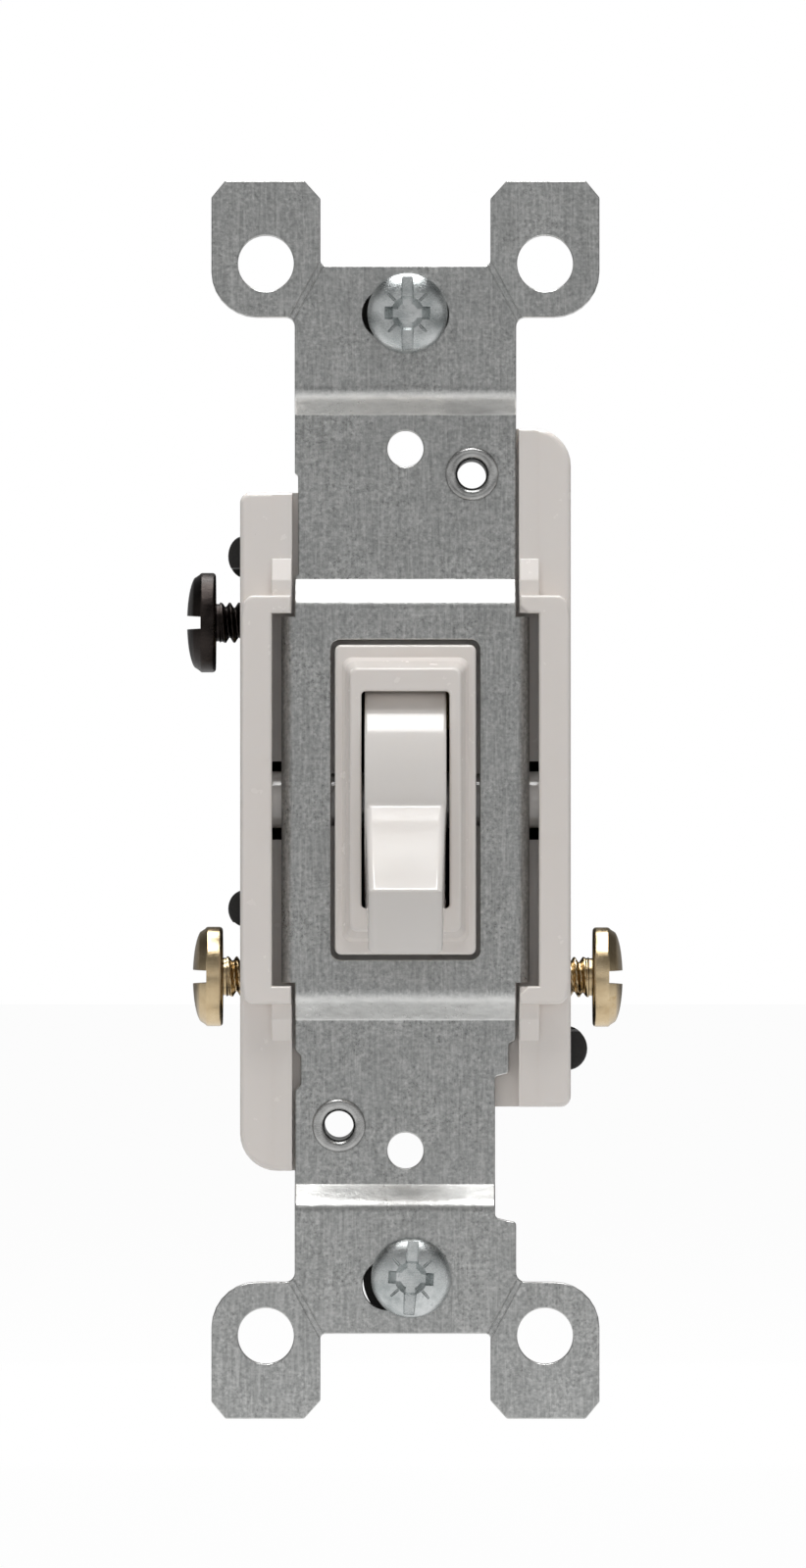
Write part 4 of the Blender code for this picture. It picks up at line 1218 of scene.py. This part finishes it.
def make_terminal_screw(node, name, side, z, look, head):
    """A terminal screw whose head height is head; local z = 0 is the underside of the head."""
    low, high = mm_box(node)
    under = max(abs(low.x), abs(high.x)) - head
    tip, rim_z = 9.9 - under, head - 1.35
    threads = (tip + 0.25, -0.35)
    rows = [(0, tip), (CREST - 0.75, tip), (CREST - 0.5, tip + 0.12)] + thread_rows(*threads)
    rows += [(1.62, -0.3), (1.62, -0.06), (1.75, 0), (4.0, 0)]
    rows += [(4.0 + 0.3 * math.sin(a), 0.3 - 0.3 * math.cos(a)) for a in angles(5)[1:]]
    rows += [(4.3, rim_z)]
    rows += [(4.3 - 0.3 + 0.3 * math.cos(a), rim_z + 0.3 * math.sin(a)) for a in angles(6)[1:5]]
    dome = angles(14)[11:0:-1]
    rows += [(4.08 * math.sin(a), head - 0.95 + 0.95 * math.cos(a)) for a in dome] + [(0, head)]
    screw = lathe(rows, 72, thread=thread_between(*threads))
    slot = ((0.62, 6, head + 1), (0.58, 6, head - 0.35), (0.54, 6, head - 1.2))
    cross = ((2.1, 0.55, head + 1), (1.95, 0.5, head - 0.2), (1.1, 0.34, head - 1.7))
    cut(screw, tapered(rectangle, slot), tapered(wing, cross))
    place(screw, lambda p: (side * (under + p.z), TERMINAL_Y + p.y, z - side * p.x))
    finish(screw, name, look, node, node, 33)


def recess_ticks(top):
    """Four short V cuts between the arms of the cross."""
    ticks = []
    for k in range(4):
        angle = math.pi / 4 + math.pi / 2 * k
        out = Vector((math.cos(angle), math.sin(angle)))
        across = Vector((-math.sin(angle), math.cos(angle)))
        mouth = ribbon(out * 1.45, out * 2.35, across, 0.12)
        keel = ribbon(out * 1.45, out * 2.30, across, 0.03)
        ticks.append(loft([(mouth, top + 0.3), (mouth, top - 0.18), (keel, top - 0.62)], "Z"))
    return ticks


def make_mounting_screw(part, spin):
    """A captive screw and its washer; local z runs towards the viewer from the wall plane."""
    node = "mounting_screw_" + part
    low, high = mm_box("screw_retainer_" + part)
    x, z = (low.x + high.x) / 2, (low.z + high.z) / 2
    seat, top, head_r = STRAP_T + 0.1, -mm_box(node)[0].y, 3.45
    rise = top - seat - 0.42
    threads = (-17.5, -1.9)
    rows = [(0, -17.7), (1.0, -17.7), (1.2, -17.62)] + thread_rows(*threads)
    rows += [(1.5, -1.8), (1.4, -1.65), (1.4, seat - 0.15), (1.55, seat), (head_r - 0.25, seat)]
    for angle in angles(4)[1:]:
        rows.append((head_r - 0.25 + 0.25 * math.sin(angle), seat + 0.25 - 0.25 * math.cos(angle)))
    for angle in angles(16)[:16]:
        rows.append((head_r * math.cos(angle) ** 0.9, seat + 0.42 + rise * math.sin(angle)))
    screw = lathe(rows + [(0, top)], 80, thread=thread_between(*threads))
    slot = ((0.58, 3.3, top + 1), (0.54, 3.25, top - 0.2), (0.42, 3.1, top - 1.15))
    cross = ((2.25, 0.62, top + 1), (2.0, 0.55, top - 0.15), (1.25, 0.36, top - 1.5))
    well = [
        (0, top - 1.55), (0.9, top - 1.5), (1.25, top - 0.6),
        (1.42, top - 0.1), (1.7, top + 0.5), (0, top + 0.5),
    ]
    tools = [tapered(rectangle, slot), tapered(wing, cross), lathe(well, 40)]
    cut(screw, *tools, *recess_ticks(top))
    cos, sin = math.cos(spin), math.sin(spin)
    place(screw, lambda p: (x + p.x * cos + p.y * sin, -p.z, z - p.x * sin + p.y * cos))
    finish(screw, "captive_screw_" + part, ZINC, node, node, 30)

    inner, outer, back, front, edge = 1.5, 4.12, -0.95, -0.15, 0.06
    washer = lathe([
        (inner + edge, back), (outer - edge, back), (outer, back + edge), (outer, front - edge),
        (outer - edge, front), (inner + edge, front), (inner, front - edge), (inner, back + edge),
    ], 72)
    place(washer, lambda p: (x + p.x, -p.z, z + p.y))
    node = "screw_retainer_" + part
    finish(washer, "fibre_washer_" + part, FIBRE, "retainer_" + part, node, 35)


# flared ends of an eyelet as (radius, height from the face it lies on)
EYELET_BACK = (
    (1.25, -0.1), (1.36, -0.30), (1.5, -0.39), (1.7, -0.4), (1.95, -0.38),
    (2.15, -0.32), (2.25, -0.2), (2.25, -0.06), (2.2, 0), (1.55, 0),
)
EYELET_FRONT = (
    (1.55, 0), (2.17, 0), (2.26, 0.05), (2.30, 0.14), (2.28, 0.24), (2.21, 0.34), (2.08, 0.42),
    (1.90, 0.45), (1.70, 0.43), (1.52, 0.35), (1.39, 0.22), (1.29, 0.04), (1.25, -0.25),
)


def make_eyelet(part, side):
    low, high = mm_box("eyelet_" + part)
    front, back = -low.y - 0.45, -high.y + 0.4
    rows = [(radius, back + z) for radius, z in EYELET_BACK]
    rows += [(radius, front + z) for radius, z in EYELET_FRONT]
    eyelet = lathe(rows, 80)
    place(eyelet, lambda p: (side * EYELET_X + p.x, -p.z, side * EYELET_Z + p.y))
    finish(eyelet, "rivet_" + part, EYELET_METAL, "housing", "eyelet_" + part, 40)


# ---------------------------------------------------------------- stage, in metres

FLOOR_HALF, FLOOR_DROP = 3.0, 0.0002
LIGHT_HEIGHT, LIGHT_BEHIND = 0.40, 0.055
VIEW_DISTANCE, VIEW_WIDTH, SENSOR = 1.6, 0.1346, 36.0
VIEW_X, VIEW_Z = -0.00021, 0.00135


def grey(level):
    return (level, level, level)


def floor_look():
    """Pale floor, white to the camera, with a pool of light about the floor's middle."""
    material = bpy.data.materials.new("pale_floor")
    material.use_nodes = True
    graph = Graph(material.node_tree)
    bsdf = graph.tree.nodes["Principled BSDF"]
    coord = graph.add("TexCoord").outputs["Object"]
    noise = graph.add("TexNoise", {"Scale": 9.0, "Vector": coord}).outputs["Fac"]
    tone = graph.ramp(noise, stops=[(0.0, grey(0.58)), (1.0, grey(0.63))])
    graph.feed(bsdf.inputs["Base Color"], tone)
    graph.feed(bsdf.inputs["Roughness"], 0.9)
    glow = graph.add("Emission", {"Color": grey(1), "Strength": 1.0})
    path = graph.add("LightPath")
    far = graph.add("VectorMath", {0: coord}, operation="LENGTH").outputs["Value"]
    pool = graph.spread(far, read=(0.05, 0.16), give=(1.0, 0.0))
    # the pool is 0.14 strong, and 0.80 stronger in reflections
    sheen = graph.math("MULTIPLY_ADD", path.outputs["Is Glossy Ray"], 0.80, 0.14)
    lift = graph.math("MULTIPLY", pool, sheen)
    # the camera sees 0.97 glow on top of the pool
    part = graph.math("MULTIPLY_ADD", path.outputs["Is Camera Ray"], 0.97, lift, use_clamp=True)
    mix = graph.add("MixShader", {0: part, 1: bsdf.outputs[0], 2: glow.outputs[0]})
    graph.feed(graph.tree.nodes["Material Output"].inputs["Surface"], mix.outputs[0])
    return material


def make_floor():
    material = floor_look()
    mesh = bpy.data.meshes.new("floor")
    half, z = FLOOR_HALF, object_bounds()[0].z - FLOOR_DROP
    corners = [(-half, -half, z), (half, -half, z), (half, half, z), (-half, half, z)]
    mesh.from_pydata(corners, [], [(0, 1, 2, 3)])
    floor = bpy.data.objects.new("floor", mesh)
    bpy.context.scene.collection.objects.link(floor)
    mesh.materials.append(material)


def make_world():
    """White to the camera; it lights the switch as a room brightest about the horizon."""
    world = bpy.data.worlds.new("studio")
    bpy.context.scene.world = world
    world.use_nodes = True
    world.node_tree.nodes.clear()
    graph = Graph(world.node_tree)
    coord = graph.add("TexCoord").outputs["Generated"]
    split = graph.add("SeparateXYZ", {0: coord})
    height = graph.spread(split.outputs["Z"], read=(-1.0, 1.0), give=(0.0, 1.0))
    # (height from straight down to straight up, brightness)
    levels = (
        (0.0, 0.55), (0.25, 0.60), (0.42, 0.80), (0.57, 0.80), (0.70, 0.38), (0.85, 0.20),
        (1.0, 0.20),
    )
    room = graph.ramp(height, stops=[(position, grey(level)) for position, level in levels])
    # the room is darker to the sides and behind, which outlines the object's edges
    front = graph.spread(split.outputs["Y"], read=(0.0, -0.5), give=(0.28, 1.0))
    dim = graph.add("VectorMath", {0: room, "Scale": front}, operation="SCALE").outputs[0]
    lit = graph.add("Background", {"Color": dim, "Strength": 1.0}).outputs[0]
    seen = graph.add("Background", {"Color": grey(1)}).outputs[0]
    camera_ray = graph.add("LightPath").outputs["Is Camera Ray"]
    mix = graph.add("MixShader", {0: camera_ray, 1: lit, 2: seen}).outputs[0]
    graph.add("OutputWorld", {"Surface": mix})


def make_light(wall_y):
    light = bpy.data.lights.new("overhead", "AREA")
    light.shape, light.size, light.size_y = "RECTANGLE", 0.26, 0.54
    light.energy = 2.8
    lamp = bpy.data.objects.new("overhead", light)
    bpy.context.scene.collection.objects.link(lamp)
    lamp.location = (0.0, wall_y + LIGHT_BEHIND, LIGHT_HEIGHT)
    down = Vector((0, 0, -LIGHT_HEIGHT))
    lamp.rotation_euler = down.to_track_quat("-Z", "Y").to_euler()


def make_camera(wall_y):
    lens = bpy.data.cameras.new("camera")
    lens.sensor_width = SENSOR
    lens.lens = SENSOR * VIEW_DISTANCE / VIEW_WIDTH
    lens.clip_start, lens.clip_end = 0.01, 20.0
    camera = bpy.data.objects.new("camera", lens)
    bpy.context.scene.collection.objects.link(camera)
    camera.location = (VIEW_X, wall_y - STRAP_T * 0.001 - VIEW_DISTANCE, VIEW_Z)
    camera.rotation_euler = (math.pi / 2, 0, 0)
    bpy.context.scene.camera = camera


def make_stage():
    view = bpy.context.scene.view_settings
    view.view_transform = "Standard"
    view.look = "None"
    make_floor()
    make_world()
    make_light(WALL * 0.001)
    make_camera(WALL * 0.001)


make_strap()
make_frame()
make_base()
make_handle()
make_plunger()
make_spring()
make_arm()
make_terminals()
# (node, name, side, z, look, head height)
for screw_row in (
    ("common_screw", "terminal_screw_common", -1, TERMINAL_Z, OXIDE, 2.5),
    ("traveller_screw_left", "terminal_screw_left", -1, -TERMINAL_Z, BRASS, 2.6),
    ("traveller_screw_right", "terminal_screw_right", 1, RIGHT_TERMINAL_Z, BRASS, 2.6),
):
    make_terminal_screw(*screw_row)
make_mounting_screw("upper", spin=0.0)
make_mounting_screw("lower", spin=math.radians(3.5))
make_eyelet("upper", 1)
make_eyelet("lower", -1)
make_stage()
